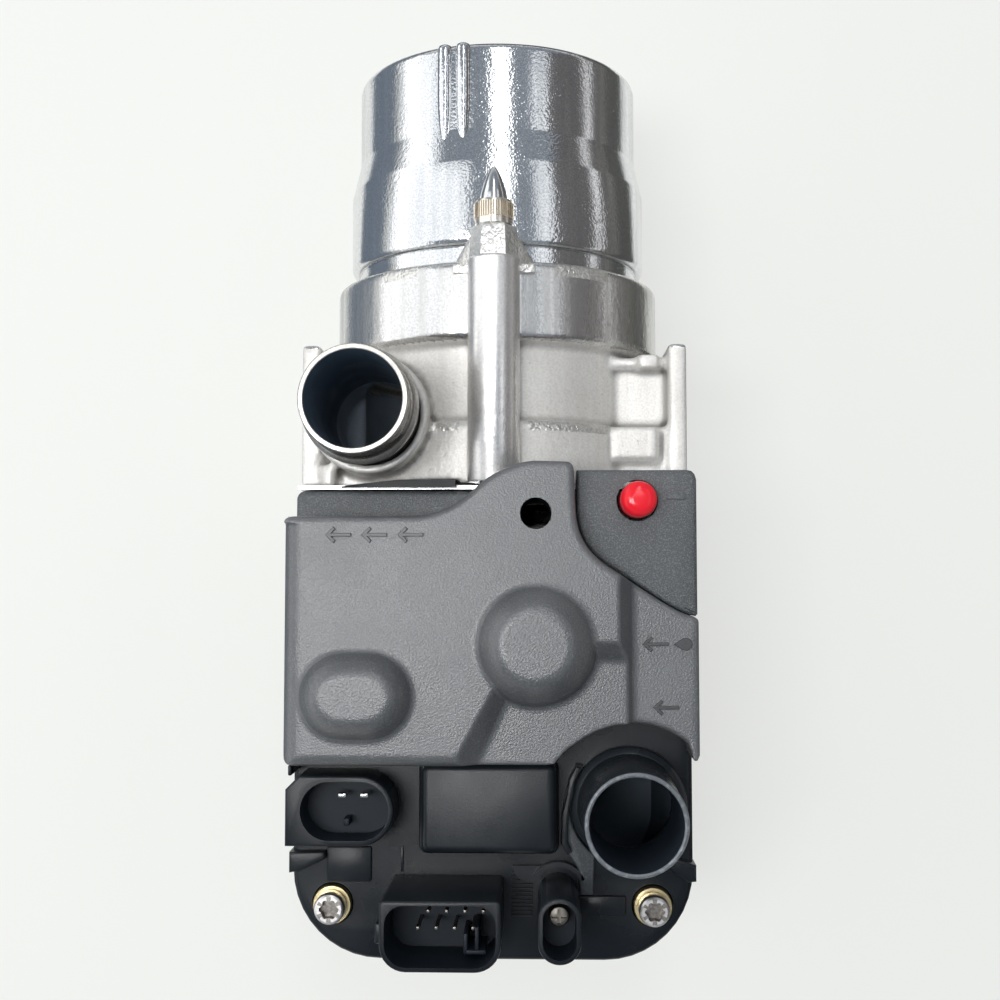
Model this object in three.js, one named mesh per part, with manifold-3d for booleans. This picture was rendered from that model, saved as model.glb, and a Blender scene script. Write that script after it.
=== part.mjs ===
// Diesel coolant heater, lying on its back. Millimetres, +Z up.
// +Y runs along the jacket can towards its closed end, and the pipes and sockets point up.
// The origin is on the floor, under the middle of the whole heater.

import * as THREE from 'three';
import { mergeVertices } from 'three/addons/utils/BufferGeometryUtils.js';
import Module from 'manifold-3d';

const wasm = await Module();
wasm.setup();

// Whole heater, the gap kept between pieces, and how many sides round pieces have
const HALF_LENGTH = 106.2;
const HALF_WIDTH = 45.8;
const GAP = 0.3;
const ROUND = 36;
const INNER = 20;
const FINE = 18;
const SMALL = 12;

// Jacket can and heat exchanger share one axis along Y
const AXIS_Z = 44;
const CAN_END_R = 35.6;
const CAN_R = 37.6;
const CAN_LIP_Y = 57;
const CAN_CONE_START_Y = 85.3;
const CAN_CONE_END_Y = 77.3;
const CAN_WALL = 2.4;
const SPIGOT_R = 35.8;
const SPIGOT_Y = 45;
const SEAL_R = [34.6, 36];
const SEAL_Y = [47.6, 50];
const RIB_X = [-12, -7.6];
const RIB_R = 1.7;
const RIB_POINT_Y = 81;

const BODY_FACE_Y = 1.1;
const FLANGE_TOP_Y = 15.2;
const FLANGE_R = 40;
const CYLINDER_R = 38.3;
const BAND_R = 40.9;
const BAND_Y = [33.7, 52.7];
const COOLANT_BORE_R = 36.2;
const COOLANT_BORE_Y = 34.2;
const CHAMBER_R = 34;
const CHAMBER_END_Y = 31;
const SEAT_BORE_R = 31.8;
const WALL_INNER_X = 41.4;
const WALL_TOP_Z = 73;
const WALL_LOW_Z = 8;
const WALL_END_Y = 35.2;
const SHOULDER_TOP_Z = 72;
const POCKET_FLOOR_Z = 69.5;
const WEB_Y = [29.6, 32];
const GASKET_RECESS_R = 38.9;
const GASKET_RECESS_Y = 3.1;

const PORT_X = 19;
const PORT_Y = 43.4;
const PORT_R = 12.5;
const PORT_BORE_R = 8.2;

// Column with the through bolt, above the body
const COLUMN_X = 0.5;
const COLUMN_Z = 87;
const COLUMN_R = 5.95;
const COLUMN_END_Y = 52.2;
const HEX_END_Y = 59.5;
const HEX_R = 5.5;
const INSERT_END_Y = 65.3;
const INSERT_R = 4.6;
const BOLT_R = 3.15;
const BOLT_BORE_R = 3.5;
const BOLT_TIP_Y = 73.6;
const BOLT_HEAD_Y = [-11.4, -6.4];
const BOLT_HEAD_R = 4.6;
const CLAMP_WING = { halfWidth: 9.6, top: 88, low: 82.1, y: 49.2, peak: 58.4 };

// Exhaust pipe
const EXHAUST = { x: -28.3, y: 17.1, top: 110, outerR: 11.7, boreR: 10.5, beadZ: 99, beadR: 13 };
const EXHAUST_BOSS = { r: 13.9, top: 86, low: 50, seatZ: 64 };

// Gasket and burner plate between body and blower housing
const GASKET_Y = [1.2, 2.8];
const GASKET_R = [27, 38.6];
const GASKET_LIP = { x: [-30, -8], r: 41, gap: 0.5 };
const PLATE_Y = [-0.1, 0.8];
const PLATE_BOX = { halfWidth: 44.8, low: 6, top: 81.4 };

// Burner, all about the can axis
const FLAME_CUP = { outerR: 30.6, wall: 2.2, endY: 97.5, flangeR: 35.8, flangeY: [34.5, 36.5], mouthY: 31.3 };
const FIN = { count: 24, depth: 3.2, thick: 1.3, y: [37, 94] };
const BURNER_TUBE = { r: 22, wall: 0.8, y: [3.2, 78] };
const BURNER_HEAD = { flangeR: 26.5, flangeEndY: 2.8, r: 20.8, endY: 18, cavityR: 17.5, cavityY: 10 };
const AIR_HOLE = { count: 6, r: 1.8, circle: 14.5 };
const FLEECE = { r: 11.5, y: [10.4, 13.4] };
const FUEL_BORE_R = 2.5;
const GLOW = { z: 7.5, r: 1.9, boreR: 2.3, endY: 27, hexR: 3.6, hexY: [-6.4, -0.4] };
const SENSOR = { x: 37, z: 24, r: 2, boreR: 2.3, y: [-7, 12] };

// Blower housing
const HOUSING_FACE_Y = -0.4;
const HOUSING_X = 45.2;
const HOUSING_TOP_Z = 82;
const HOUSING_CORNER_R = 20;
const HOUSING_WALL = 1.9;
const HOUSING_SIDE_WALL = 2.5;
const HOUSING_OPENING = { x: 42, y: [-58.5, -9.5], shelfR: 22 };
const BURNER_PORT_R = 24;
const CORNER = { x: 36, y: -93.8, postR: 7.6, sleeveR: 4.4, sleeveLow: 60, sleeveTop: 83.5 };
const CORNER_SCREW = { r: 2.3, low: 40, headR: 3.4, headZ: [83.8, 88] };
const BLOCK = { x: [-15.2, 14.2], y: [-80.6, -61.3], top: 92 };
const BOLT_LUG = { x: [-4.8, 6.6], y: -6, top: 93.5 };
const PAD = { x: [-37.3, -27.2], y: [-88.8, -81], top: 83 };
const CLIP = { y: [-87, -82], out: 0.6, z: [76, 84] };
const AIR_WALL = { outerR: 18.2, thick: 1.8, top: 88 };

// Covers
const COVER = { low: 82.4, top: 100, south: 96, side: 93.6, wall: 2.2, stepX: [28, 31.2] };
const ROUND_BULGE = { x: 9.9, y: -34.7, baseR: 13.4, topR: 9.4, top: 105 };
const OVAL_BULGE = { x: -28.7, y: -45.8, half: [12.4, 9.6], flat: [8.4, 5.6], top: 105 };
const COVER_CORNER = [[12.6, -60.9], [15, -59.4], [15.9, -58.1]];
const COVER_ARC = { r: 19.3, from: 0.7 * Math.PI, to: 0.28 * Math.PI };
const SEAM = [
  [44.6, -28.9], [40.5, -28.2], [34.8, -23.6], [28.6, -19.9], [22.5, -16.4], [18.9, -13], [18.6, -5.7],
];
const SEAM_GAP = 0.45;
const TONGUE = {
  right: 18.2,
  tip: [[17, 4.7], [9.6, 4.9]],
  curves: [[5.6, 4.6, 1.4, 2.8, -1.9, 0.1], [-5.6, -3.4, -9.6, -7, -17, -7.1]],
};
const COVER_LEFT = [[-43.2, -7.1], [-44.8, -8.6], [-44.8, -58.9]];
const SOUTH_STEP = [[-7.3, -62], [40, -62], [40, -36], [24, -36], [10, -44], [1.4, -44.2]];
const COVER_HOLE = { x: 10, y: -6.6, r: 3.4 };
const FUEL_COVER = { top: 92, wall: 2, endY: 3.4 };

// Fuel pipe and its cap
const FUEL = { x: 32.4, y: -3.4, r: 2.1, top: 97, lowY: -4.9, boreR: 2.45, bossR: 5, bossLow: 71 };
const CAP = { r: 4, boreR: 2.45, low: 88.5, top: 99 };
const CAP_HOLE_R = 4.6;

// Air intake pipe
const AIR = { x: 30.7, y: -71.3, outerR: 10.9, boreR: 9.8, top: 108, flangeR: 13, flangeTop: 85.5 };

// Sockets and their contacts
const SOCKET_BASE_Z = 82.3;
const PUMP = { x: -31.8, y: -71.2, half: [10.7, 7.6], cavity: [9.7, 6.35], top: 94, floor: 84.5 };
const BLADE = { x: [-1.1, 3.8], y: 2.75, size: [1.8, 0.9], low: 74, top: 90 };
const HARNESS = { x: -10, y: -94.6, half: [12.7, 7.3], cavity: [11.6, 6.3], top: 106, floor: 90 };
const PIN = { pitch: 3.9, rows: [3.7, 0.2], offset: [-2.9, -5.1], size: 0.7, low: 74, top: 100 };
const AUX = { x: 14.8, y: -93.4, half: [4.5, 6.8], cavity: [3.5, 5.8], top: 106, floor: 95 };
const AUX_CONTACT = { y: 1.6, r: 2.2, low: 74, top: 100, slot: 0.7 };

// Control board inside the blower housing
const BOARD = { x: 41, y: [-57.5, -10.5], z: [77, 78.6], cutR: 13.2 };
const CAPACITOR = { x: [-34.2, -23.2], y: -45.8, r: 4.6, z: [79, 97] };

// Blower, about a vertical axis under the round bulge
const BLOWER = { x: 9.9, y: -34.7 };
const CHANNEL = { r: 27.5, z: [34, 43], grooveR: [13, 22.5], depth: 5 };
const IMPELLER = { r: 23, z: [43.4, 50.6], plate: 2, hubR: 5, vanes: 24 };
const CHAMBER_LID = { r: 27.5, innerR: 24, z: [43.3, 55], underside: 51.2 };
const MOTOR = { r: 12, wall: 1, z: [55.4, 93], neckR: 6.6, neckTop: 100.5 };
const MAGNET = { r: [9.9, 10.7], z: [60, 90] };
const ARMATURE = { r: 9.4, slotR: 7, slots: 8, z: [62, 88] };
const SHAFT = { r: 1.5, boreR: 1.62, z: [42.5, 97.6] };
const BEARING = { r: 4, low: [51.7, 54.7], high: [93.4, 96.4] };
const POST = { r: 3, circle: 23.5, count: 4 };

const MATERIAL = {
  brightCast: metal(0xd9dbde, 0.12),
  satinCast: metal(0xb9bab8, 0.38),
  steel: metal(0xc4c6c8, 0.2),
  brass: metal(0xc9a55a, 0.28),
  copper: metal(0xb87a4b, 0.35),
  rubber: plastic(0x0c0c0d, 0.75),
  housing: plastic(0x1b1d20, 0.32),
  cover: plastic(0x4a4c4e, 0.5),
  fuelCover: plastic(0x3a3d40, 0.65),
  redCap: plastic(0xd8101c, 0.18),
  board: plastic(0x1f5a34, 0.5),
  ceramic: plastic(0xe6e2d8, 0.6),
  fleece: metal(0x8f8a80, 0.8),
};

function metal(color, roughness) {
  return new THREE.MeshStandardMaterial({ color, roughness, metalness: 1 });
}

function plastic(color, roughness) {
  return new THREE.MeshStandardMaterial({ color, roughness, metalness: 0 });
}

// Turns a closed geometry into a solid whose faces point out.
function solid(geometry) {
  const plain = geometry.clone();
  plain.deleteAttribute('normal');
  plain.deleteAttribute('uv');
  const merged = mergeVertices(plain, 1e-4);
  const place = merged.attributes.position;
  const corner = [new THREE.Vector3(), new THREE.Vector3(), new THREE.Vector3()];
  const triangles = [];
  let volume = 0;
  for (let i = 0; i < merged.index.count; i += 3) {
    const [a, b, c] = [0, 1, 2].map((k) => merged.index.getX(i + k));
    if (a === b || b === c || c === a) continue;
    [a, b, c].forEach((vertex, k) => corner[k].fromBufferAttribute(place, vertex));
    volume += corner[0].dot(corner[1].cross(corner[2]));
    triangles.push([a, b, c]);
  }
  const facing = volume < 0 ? triangles.map(([a, b, c]) => [a, c, b]) : triangles;
  return new wasm.Manifold(new wasm.Mesh({
    numProp: 3,
    vertProperties: new Float32Array(place.array),
    triVerts: new Uint32Array(facing.flat()),
  }));
}

function mesh(name, shape, material) {
  const data = shape.getMesh();
  const geometry = new THREE.BufferGeometry();
  geometry.setAttribute('position', new THREE.BufferAttribute(data.vertProperties, 3));
  geometry.setIndex(new THREE.BufferAttribute(data.triVerts, 1));
  geometry.computeVertexNormals();
  const result = new THREE.Mesh(geometry, material.clone());
  result.name = name;
  return result;
}

function join(...shapes) {
  return shapes.reduce((whole, shape) => whole.add(shape));
}

function cut(shape, ...tools) {
  return tools.reduce((rest, tool) => rest.subtract(tool), shape);
}

function box([x0, x1], [y0, y1], [z0, z1]) {
  const geometry = new THREE.BoxGeometry(x1 - x0, y1 - y0, z1 - z0);
  geometry.translate((x0 + x1) / 2, (y0 + y1) / 2, (z0 + z1) / 2);
  return solid(geometry);
}

// A rod that stands along Z.
function rodZ(x, y, r, [z0, z1], sides = FINE, topR = r) {
  const geometry = new THREE.CylinderGeometry(topR, r, z1 - z0, sides);
  geometry.rotateX(Math.PI / 2);
  geometry.translate(x, y, (z0 + z1) / 2);
  return solid(geometry);
}

// A rod that lies along Y.
function rodY(x, z, r, [y0, y1], sides = FINE, farR = r) {
  const geometry = new THREE.CylinderGeometry(farR, r, y1 - y0, sides);
  geometry.translate(x, (y0 + y1) / 2, z);
  return solid(geometry);
}

// Turns a closed outline of [radius, height] pairs about the Y axis.
function turnY(outline, sides = ROUND) {
  const points = [...outline, outline[0]].map(([r, y]) => new THREE.Vector2(r, y));
  return solid(new THREE.LatheGeometry(points, sides));
}

// The same, about a vertical line through x, y.
function turnZ(outline, x, y, sides = ROUND) {
  const points = [...outline, outline[0]].map(([r, z]) => new THREE.Vector2(r, z));
  const geometry = new THREE.LatheGeometry(points, sides);
  geometry.rotateX(Math.PI / 2);
  geometry.translate(x, y, 0);
  return solid(geometry);
}

// Pulls an outline drawn in X and Y up from z0 to z1.
function prism(outline, [z0, z1], curveSegments = 3) {
  const shape = outline instanceof THREE.Shape ? outline : new THREE.Shape(outline);
  const geometry = new THREE.ExtrudeGeometry(shape, {
    depth: z1 - z0,
    bevelEnabled: false,
    curveSegments,
  });
  geometry.translate(0, 0, z0);
  return solid(geometry);
}

// A rectangle with one radius for its two upper corners and one for its two lower corners.
function roundedRectangle([x0, x1], [y0, y1], upperR, lowerR = upperR) {
  const shape = new THREE.Shape();
  shape.absarc(x1 - lowerR, y0 + lowerR, lowerR, -Math.PI / 2, 0, false);
  shape.absarc(x1 - upperR, y1 - upperR, upperR, 0, Math.PI / 2, false);
  shape.absarc(x0 + upperR, y1 - upperR, upperR, Math.PI / 2, Math.PI, false);
  shape.absarc(x0 + lowerR, y0 + lowerR, lowerR, Math.PI, Math.PI * 1.5, false);
  return shape;
}

// An oval of two half rounds, or a rounded block when the radius is smaller.
function oval(x, y, [halfX, halfY], r = Math.min(halfX, halfY) - 0.05, lowerR = r) {
  return roundedRectangle([x - halfX, x + halfX], [y - halfY, y + halfY], r, lowerR);
}

function ring(count, place) {
  return Array.from({ length: count }, (_, i) => place((2 * Math.PI * i) / count));
}

// What is left of a shape when every upright wall moves inwards by the same distance.
function erode(shape, distance) {
  const copies = ring(8, (angle) => {
    return shape.translate([distance * Math.cos(angle), distance * Math.sin(angle), 0]);
  });
  return copies.reduce((rest, copy) => rest.intersect(copy));
}

// Space under a shell: open below, with walls and top of one thickness.
function shellSpace(outside, wall) {
  return erode(outside, wall).translate([0, 0, -wall]);
}

function jacketCan() {
  const inner = CAN_R - CAN_WALL;
  const shell = turnY([
    [0, HALF_LENGTH - CAN_WALL],
    [CAN_END_R - CAN_WALL, HALF_LENGTH - CAN_WALL],
    [CAN_END_R - CAN_WALL, CAN_CONE_START_Y],
    [SPIGOT_R - CAN_WALL, CAN_CONE_END_Y],
    [SPIGOT_R - CAN_WALL, SPIGOT_Y],
    [SPIGOT_R, SPIGOT_Y],
    [SPIGOT_R, SEAL_Y[0] - GAP],
    [SEAL_R[0] - GAP, SEAL_Y[0] - GAP],
    [SEAL_R[0] - GAP, SEAL_Y[1] + GAP],
    [SPIGOT_R, SEAL_Y[1] + GAP],
    [SPIGOT_R, CAN_LIP_Y],
    [inner + 1.6, CAN_LIP_Y],
    [CAN_R, CAN_LIP_Y + 1.2],
    [CAN_R, CAN_CONE_END_Y],
    [CAN_END_R, CAN_CONE_START_Y],
    [CAN_END_R, HALF_LENGTH - 1.6],
    [CAN_END_R - 0.5, HALF_LENGTH - 0.5],
    [CAN_END_R - 1.6, HALF_LENGTH],
    [0, HALF_LENGTH],
  ]);
  const ribs = RIB_X.map(endRib);
  return join(shell, ...ribs);
}

// One raised rib on the can's end, running out to a point.
function endRib(x) {
  const z = Math.sqrt(CAN_END_R ** 2 - x ** 2);
  const straight = rodY(x, z, RIB_R, [RIB_POINT_Y + 8, HALF_LENGTH - 0.2], 12);
  const point = rodY(x, z, 0.2, [RIB_POINT_Y, RIB_POINT_Y + 8.05], 12, RIB_R);
  return join(straight, point);
}

function jacketSealRing() {
  const [inner, outer] = SEAL_R;
  return turnY([[inner, SEAL_Y[0]], [outer, SEAL_Y[0]], [outer, SEAL_Y[1]], [inner, SEAL_Y[1]]]);
}

// Outer form of the cast body, in its own frame about the can axis.
function bodyCasting() {
  const round = turnY([
    [0, BODY_FACE_Y],
    [FLANGE_R, BODY_FACE_Y],
    [FLANGE_R, FLANGE_TOP_Y],
    [CYLINDER_R, FLANGE_TOP_Y],
    [CYLINDER_R, BAND_Y[0]],
    [BAND_R, BAND_Y[0] + 1],
    [BAND_R, BAND_Y[1] - 0.7],
    [BAND_R - 0.8, BAND_Y[1]],
    [0, BAND_Y[1]],
  ]);
  const low = WALL_LOW_Z - AXIS_Z;
  const wallZ = [low, WALL_TOP_Z - AXIS_Z];
  const shoulderTop = SHOULDER_TOP_Z - AXIS_Z;
  const across = [-HALF_WIDTH, HALF_WIDTH];
  const shoulders = box(across, [BODY_FACE_Y, FLANGE_TOP_Y], [low, shoulderTop]);
  const pocketFloors = box(across, [BODY_FACE_Y, WEB_Y[1]], [low + 12, POCKET_FLOOR_Z - AXIS_Z]);
  const webs = box(across, WEB_Y, [low, shoulderTop - 1]);
  const right = box([WALL_INNER_X, HALF_WIDTH], [BODY_FACE_Y, WALL_END_Y], wallZ);
  const left = box([-HALF_WIDTH, -WALL_INNER_X], [BODY_FACE_Y, WALL_END_Y], wallZ);
  return join(round, shoulders, pocketFloors, webs, left, right);
}

function bodyBores() {
  return turnY([
    [0, -5],
    [GASKET_RECESS_R, -5],
    [GASKET_RECESS_R, GASKET_RECESS_Y],
    [CHAMBER_R, GASKET_RECESS_Y],
    [CHAMBER_R, CHAMBER_END_Y],
    [SEAT_BORE_R, CHAMBER_END_Y],
    [SEAT_BORE_R, COOLANT_BORE_Y],
    [COOLANT_BORE_R, COOLANT_BORE_Y],
    [COOLANT_BORE_R, BAND_Y[1] + 5],
    [0, BAND_Y[1] + 5],
  ]);
}

// Column, its wedge down to the body, the clamp wings and the hexagonal end.
function boltColumn() {
  const column = rodY(COLUMN_X, COLUMN_Z, COLUMN_R, [BODY_FACE_Y, COLUMN_END_Y]);
  const web = box([COLUMN_X - 4.6, COLUMN_X + 4.6], [BODY_FACE_Y, BAND_Y[1] - 1], [80.5, COLUMN_Z]);
  const hexagon = rodY(COLUMN_X, COLUMN_Z, HEX_R, [COLUMN_END_Y - 1, HEX_END_Y], 6, HEX_R - 0.6);
  const { halfWidth, top, low, y, peak } = CLAMP_WING;
  const wings = prism([
    new THREE.Vector2(COLUMN_X - halfWidth, y),
    new THREE.Vector2(COLUMN_X + halfWidth, y),
    new THREE.Vector2(COLUMN_X + halfWidth, y + 1.6),
    new THREE.Vector2(COLUMN_X + 4, peak),
    new THREE.Vector2(COLUMN_X - 4, peak),
    new THREE.Vector2(COLUMN_X - halfWidth, y + 1.6),
  ], [low, top]);
  const bandPad = box([COLUMN_X - halfWidth, COLUMN_X + halfWidth], [y, BAND_Y[1] - 0.5], [79, low + 0.5]);
  return join(column, web, hexagon, wings, bandPad);
}

function heatExchangerBody() {
  const casting = bodyCasting().translate([0, 0, AXIS_Z]);
  const bores = bodyBores().translate([0, 0, AXIS_Z]);
  const ports = [-PORT_X, PORT_X].map((x) => rodZ(x, PORT_Y, PORT_R, [0, 20], ROUND));
  const portBores = [-PORT_X, PORT_X].map((x) => rodZ(x, PORT_Y, PORT_BORE_R, [-1, 30], ROUND));
  const { r, top, low, seatZ } = EXHAUST_BOSS;
  const boss = rodZ(EXHAUST.x, EXHAUST.y, r, [low, top], ROUND);
  const pipeSeat = rodZ(EXHAUST.x, EXHAUST.y, EXHAUST.outerR + GAP, [seatZ, top + 1], ROUND);
  const gasPassage = rodZ(EXHAUST.x, EXHAUST.y, EXHAUST.boreR, [AXIS_Z + 4, seatZ + 1], ROUND);
  const sensorBore = rodY(SENSOR.x, SENSOR.z, SENSOR.boreR, [0, SENSOR.y[1] + GAP], SMALL);
  const boltBore = rodY(COLUMN_X, COLUMN_Z, BOLT_BORE_R, [0, HEX_END_Y + 1]);
  const { x: lipX, gap } = GASKET_LIP;
  const lipNotch = box([lipX[0] - gap, lipX[1] + gap], [0, GASKET_RECESS_Y], [WALL_TOP_Z - gap, COLUMN_Z]);
  const outside = join(casting, boltColumn(), boss, ...ports);
  return cut(outside, bores, lipNotch, boltBore, pipeSeat, gasPassage, sensorBore, ...portBores);
}

function exhaustPipe() {
  const { x, y, top, outerR, boreR, beadZ, beadR } = EXHAUST;
  return turnZ([
    [boreR, EXHAUST_BOSS.seatZ + GAP],
    [outerR, EXHAUST_BOSS.seatZ + GAP],
    [outerR, beadZ - 2.2],
    [beadR - 0.3, beadZ - 1.1],
    [beadR, beadZ],
    [beadR - 0.3, beadZ + 1.1],
    [outerR - 0.2, beadZ + 2.2],
    [outerR - 0.2, top - 2],
    [outerR, top - 1],
    [outerR - 0.3, top],
    [boreR + 0.2, top],
    [boreR, top - 0.4],
  ], x, y);
}

// The bolt's head is under the cover and its pointed end stands out of the insert.
function throughBolt() {
  const head = rodY(COLUMN_X, COLUMN_Z, BOLT_HEAD_R, BOLT_HEAD_Y, 6);
  const shank = rodY(COLUMN_X, COLUMN_Z, BOLT_R, [BOLT_HEAD_Y[1] - 0.5, 67.2], SMALL);
  const point = turnY([
    [0, 67.1],
    [BOLT_R, 67.1],
    [BOLT_R - 0.5, 69.4],
    [BOLT_R - 1.5, 71.6],
    [0.5, BOLT_TIP_Y],
    [0, BOLT_TIP_Y],
  ], SMALL).translate([COLUMN_X, 0, COLUMN_Z]);
  return join(head, shank, point);
}

function knurledInsert() {
  const shell = rodY(COLUMN_X, COLUMN_Z, INSERT_R - 0.25, [HEX_END_Y + GAP, INSERT_END_Y]);
  const knurls = ring(16, (angle) => {
    const x = COLUMN_X + (INSERT_R - 0.5) * Math.cos(angle);
    const z = COLUMN_Z + (INSERT_R - 0.5) * Math.sin(angle);
    return rodY(x, z, 0.5, [HEX_END_Y + 2, INSERT_END_Y - 0.4], 6);
  });
  return cut(join(shell, ...knurls), rodY(COLUMN_X, COLUMN_Z, BOLT_R + 0.2, [50, 70], SMALL));
}

// A flat ring whose outer lip shows beside the exhaust pipe.
function bodyGasket() {
  const [inner, outer] = GASKET_R;
  const [y0, y1] = GASKET_Y;
  const flat = turnY([[inner, y0], [outer, y0], [outer, y1], [inner, y1]]);
  const { x, r } = GASKET_LIP;
  const lip = rodY(0, 0, r, GASKET_Y, ROUND).intersect(box(x, GASKET_Y, [WALL_TOP_Z - AXIS_Z, r]));
  return join(flat, cut(lip, rodY(0, 0, inner + 1, [0, 5], ROUND)));
}

// Thin plate that carries the burner, clamped between gasket and blower housing.
function burnerPlate() {
  const { halfWidth, low, top } = PLATE_BOX;
  const plate = box([-halfWidth, halfWidth], PLATE_Y, [low, top]);
  const through = [PLATE_Y[0] - 1, PLATE_Y[1] + 1];
  const airHoles = ring(AIR_HOLE.count, (angle) => burnerAirHole(angle, through, AXIS_Z));
  const fuelHole = rodY(0, AXIS_Z, FUEL_BORE_R, through, SMALL);
  const glowHole = rodY(0, AXIS_Z + GLOW.z, GLOW.boreR, through, SMALL);
  const sensorHole = rodY(SENSOR.x, SENSOR.z, SENSOR.boreR, through, SMALL);
  return cut(plate, fuelHole, glowHole, sensorHole, ...airHoles);
}

function burnerAirHole(angle, span, centreZ = 0) {
  const turned = angle + Math.PI / AIR_HOLE.count;
  const x = AIR_HOLE.circle * Math.cos(turned);
  const z = centreZ + AIR_HOLE.circle * Math.sin(turned);
  return rodY(x, z, AIR_HOLE.r, span, 8);
}

function flameCup() {
  const { outerR, wall, endY, flangeR, flangeY, mouthY } = FLAME_CUP;
  const bore = outerR - wall;
  const cup = turnY([
    [bore, mouthY],
    [SEAT_BORE_R - GAP, mouthY],
    [SEAT_BORE_R - GAP, flangeY[0]],
    [flangeR, flangeY[0]],
    [flangeR, flangeY[1]],
    [outerR, flangeY[1]],
    [outerR, endY - 2],
    [outerR - 2, endY],
    [0, endY],
    [0, endY - wall],
    [bore, endY - wall],
  ], INNER);
  const fins = ring(FIN.count, (angle) => {
    const geometry = new THREE.BoxGeometry(FIN.depth + 0.6, FIN.y[1] - FIN.y[0], FIN.thick);
    geometry.translate(bore + 0.3 - FIN.depth / 2, (FIN.y[0] + FIN.y[1]) / 2, 0);
    geometry.rotateY(angle);
    return solid(geometry);
  });
  return join(cup, ...fins);
}

function burnerTube() {
  const { r, wall, y } = BURNER_TUBE;
  return turnY([[r - wall, y[0]], [r, y[0]], [r, y[1]], [r - wall, y[1]]], INNER);
}

function burnerHead() {
  const { flangeR, flangeEndY, r, endY, cavityR, cavityY } = BURNER_HEAD;
  const head = turnY([
    [0, GASKET_Y[0]],
    [flangeR, GASKET_Y[0]],
    [flangeR, flangeEndY],
    [r, flangeEndY],
    [r, endY],
    [cavityR, endY],
    [cavityR, cavityY],
    [0, cavityY],
  ], INNER);
  const through = [0, cavityY + 1];
  const airHoles = ring(AIR_HOLE.count, (angle) => burnerAirHole(angle, through));
  const fuelHole = rodY(0, 0, FUEL_BORE_R, through, SMALL);
  const glowHole = rodY(0, GLOW.z, GLOW.boreR, through, SMALL);
  return cut(head, fuelHole, glowHole, ...airHoles);
}

function evaporatorFleece() {
  const disc = rodY(0, 0, FLEECE.r, FLEECE.y);
  const opening = rodY(0, GLOW.z, GLOW.boreR, [FLEECE.y[0] - 1, FLEECE.y[1] + 1], SMALL);
  return cut(disc, opening);
}

function glowPlug() {
  const rod = rodY(0, GLOW.z, GLOW.r, [GLOW.hexY[1] - 1, GLOW.endY], SMALL);
  const hexagon = rodY(0, GLOW.z, GLOW.hexR, GLOW.hexY, 6);
  return join(rod, hexagon);
}

function overheatSensor() {
  return rodY(SENSOR.x, SENSOR.z, SENSOR.r, SENSOR.y, SMALL);
}

// Fuel pipe: straight down behind the burner plate, then across and into the burner head.
function fuelPipe() {
  const route = new THREE.CatmullRomCurve3([
    new THREE.Vector3(FUEL.x, FUEL.y, FUEL.top),
    new THREE.Vector3(FUEL.x, FUEL.y, 80),
    new THREE.Vector3(FUEL.x, FUEL.y, 71),
    new THREE.Vector3(FUEL.x - 1, FUEL.lowY, 62),
    new THREE.Vector3(FUEL.x - 5, FUEL.lowY, 53),
    new THREE.Vector3(20, FUEL.lowY, 46.5),
    new THREE.Vector3(7, FUEL.lowY, AXIS_Z),
    new THREE.Vector3(1.2, FUEL.lowY + 0.3, AXIS_Z),
    new THREE.Vector3(0, -2.6, AXIS_Z),
    new THREE.Vector3(0, 7.5, AXIS_Z),
  ], false, 'centripetal');
  const section = new THREE.Shape();
  section.absarc(0, 0, FUEL.r, 0, Math.PI * 2, false);
  const geometry = new THREE.ExtrudeGeometry(section, { steps: 30, curveSegments: 4, extrudePath: route });
  return solid(geometry);
}

function fuelCap() {
  const { r, boreR, low, top } = CAP;
  return turnZ([
    [boreR, low],
    [r, low],
    [r, top - 1.6],
    [r - 0.5, top - 0.5],
    [r - 1.8, top],
    [0, top],
    [0, FUEL.top + GAP],
    [boreR, FUEL.top + GAP],
  ], FUEL.x, FUEL.y, FINE);
}

function housingOutline(shrink = 0) {
  const x = HOUSING_X - shrink;
  const low = -HALF_LENGTH + shrink;
  const faceWall = shrink ? HOUSING_WALL : 0;
  const faceCornerR = shrink ? 1 : 2;
  return roundedRectangle([-x, x], [low, HOUSING_FACE_Y - faceWall], faceCornerR, HOUSING_CORNER_R - shrink);
}

// Low walls, block, pad and clips that stand on the housing's lower plate.
function plateFeatures() {
  const z = [HOUSING_TOP_Z - 1, BLOCK.top];
  const block = prism(roundedRectangle(BLOCK.x, BLOCK.y, 2), z);
  const pad = box(PAD.x, PAD.y, [HOUSING_TOP_Z - 1, PAD.top]);
  const clips = [-1, 1].map((side) => {
    const edge = side * (HOUSING_X + CLIP.out);
    const inner = side * (HOUSING_X - 1.5);
    return box([Math.min(edge, inner), Math.max(edge, inner)], CLIP.y, CLIP.z);
  });
  return join(block, pad, airWall(), ...clips);
}

// Curved wall on the left of the air pipe.
function airWall() {
  const wall = new THREE.Shape();
  wall.absarc(AIR.x, AIR.y, AIR_WALL.outerR, Math.PI * 0.76, Math.PI * 1.3, false);
  wall.absarc(AIR.x, AIR.y, AIR_WALL.outerR - AIR_WALL.thick, Math.PI * 1.3, Math.PI * 0.76, true);
  return prism(wall, [HOUSING_TOP_Z - 1, AIR_WALL.top], 5);
}

function cornerPlaces() {
  return [-CORNER.x, CORNER.x].map((x) => [x, CORNER.y]);
}

function blowerPosts() {
  return ring(POST.count, (angle) => {
    const turned = angle + Math.PI / 4;
    const x = BLOWER.x + POST.circle * Math.cos(turned);
    const y = BLOWER.y + POST.circle * Math.sin(turned);
    return rodZ(x, y, POST.r, [1, CHANNEL.z[0] - GAP], SMALL);
  });
}

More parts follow.
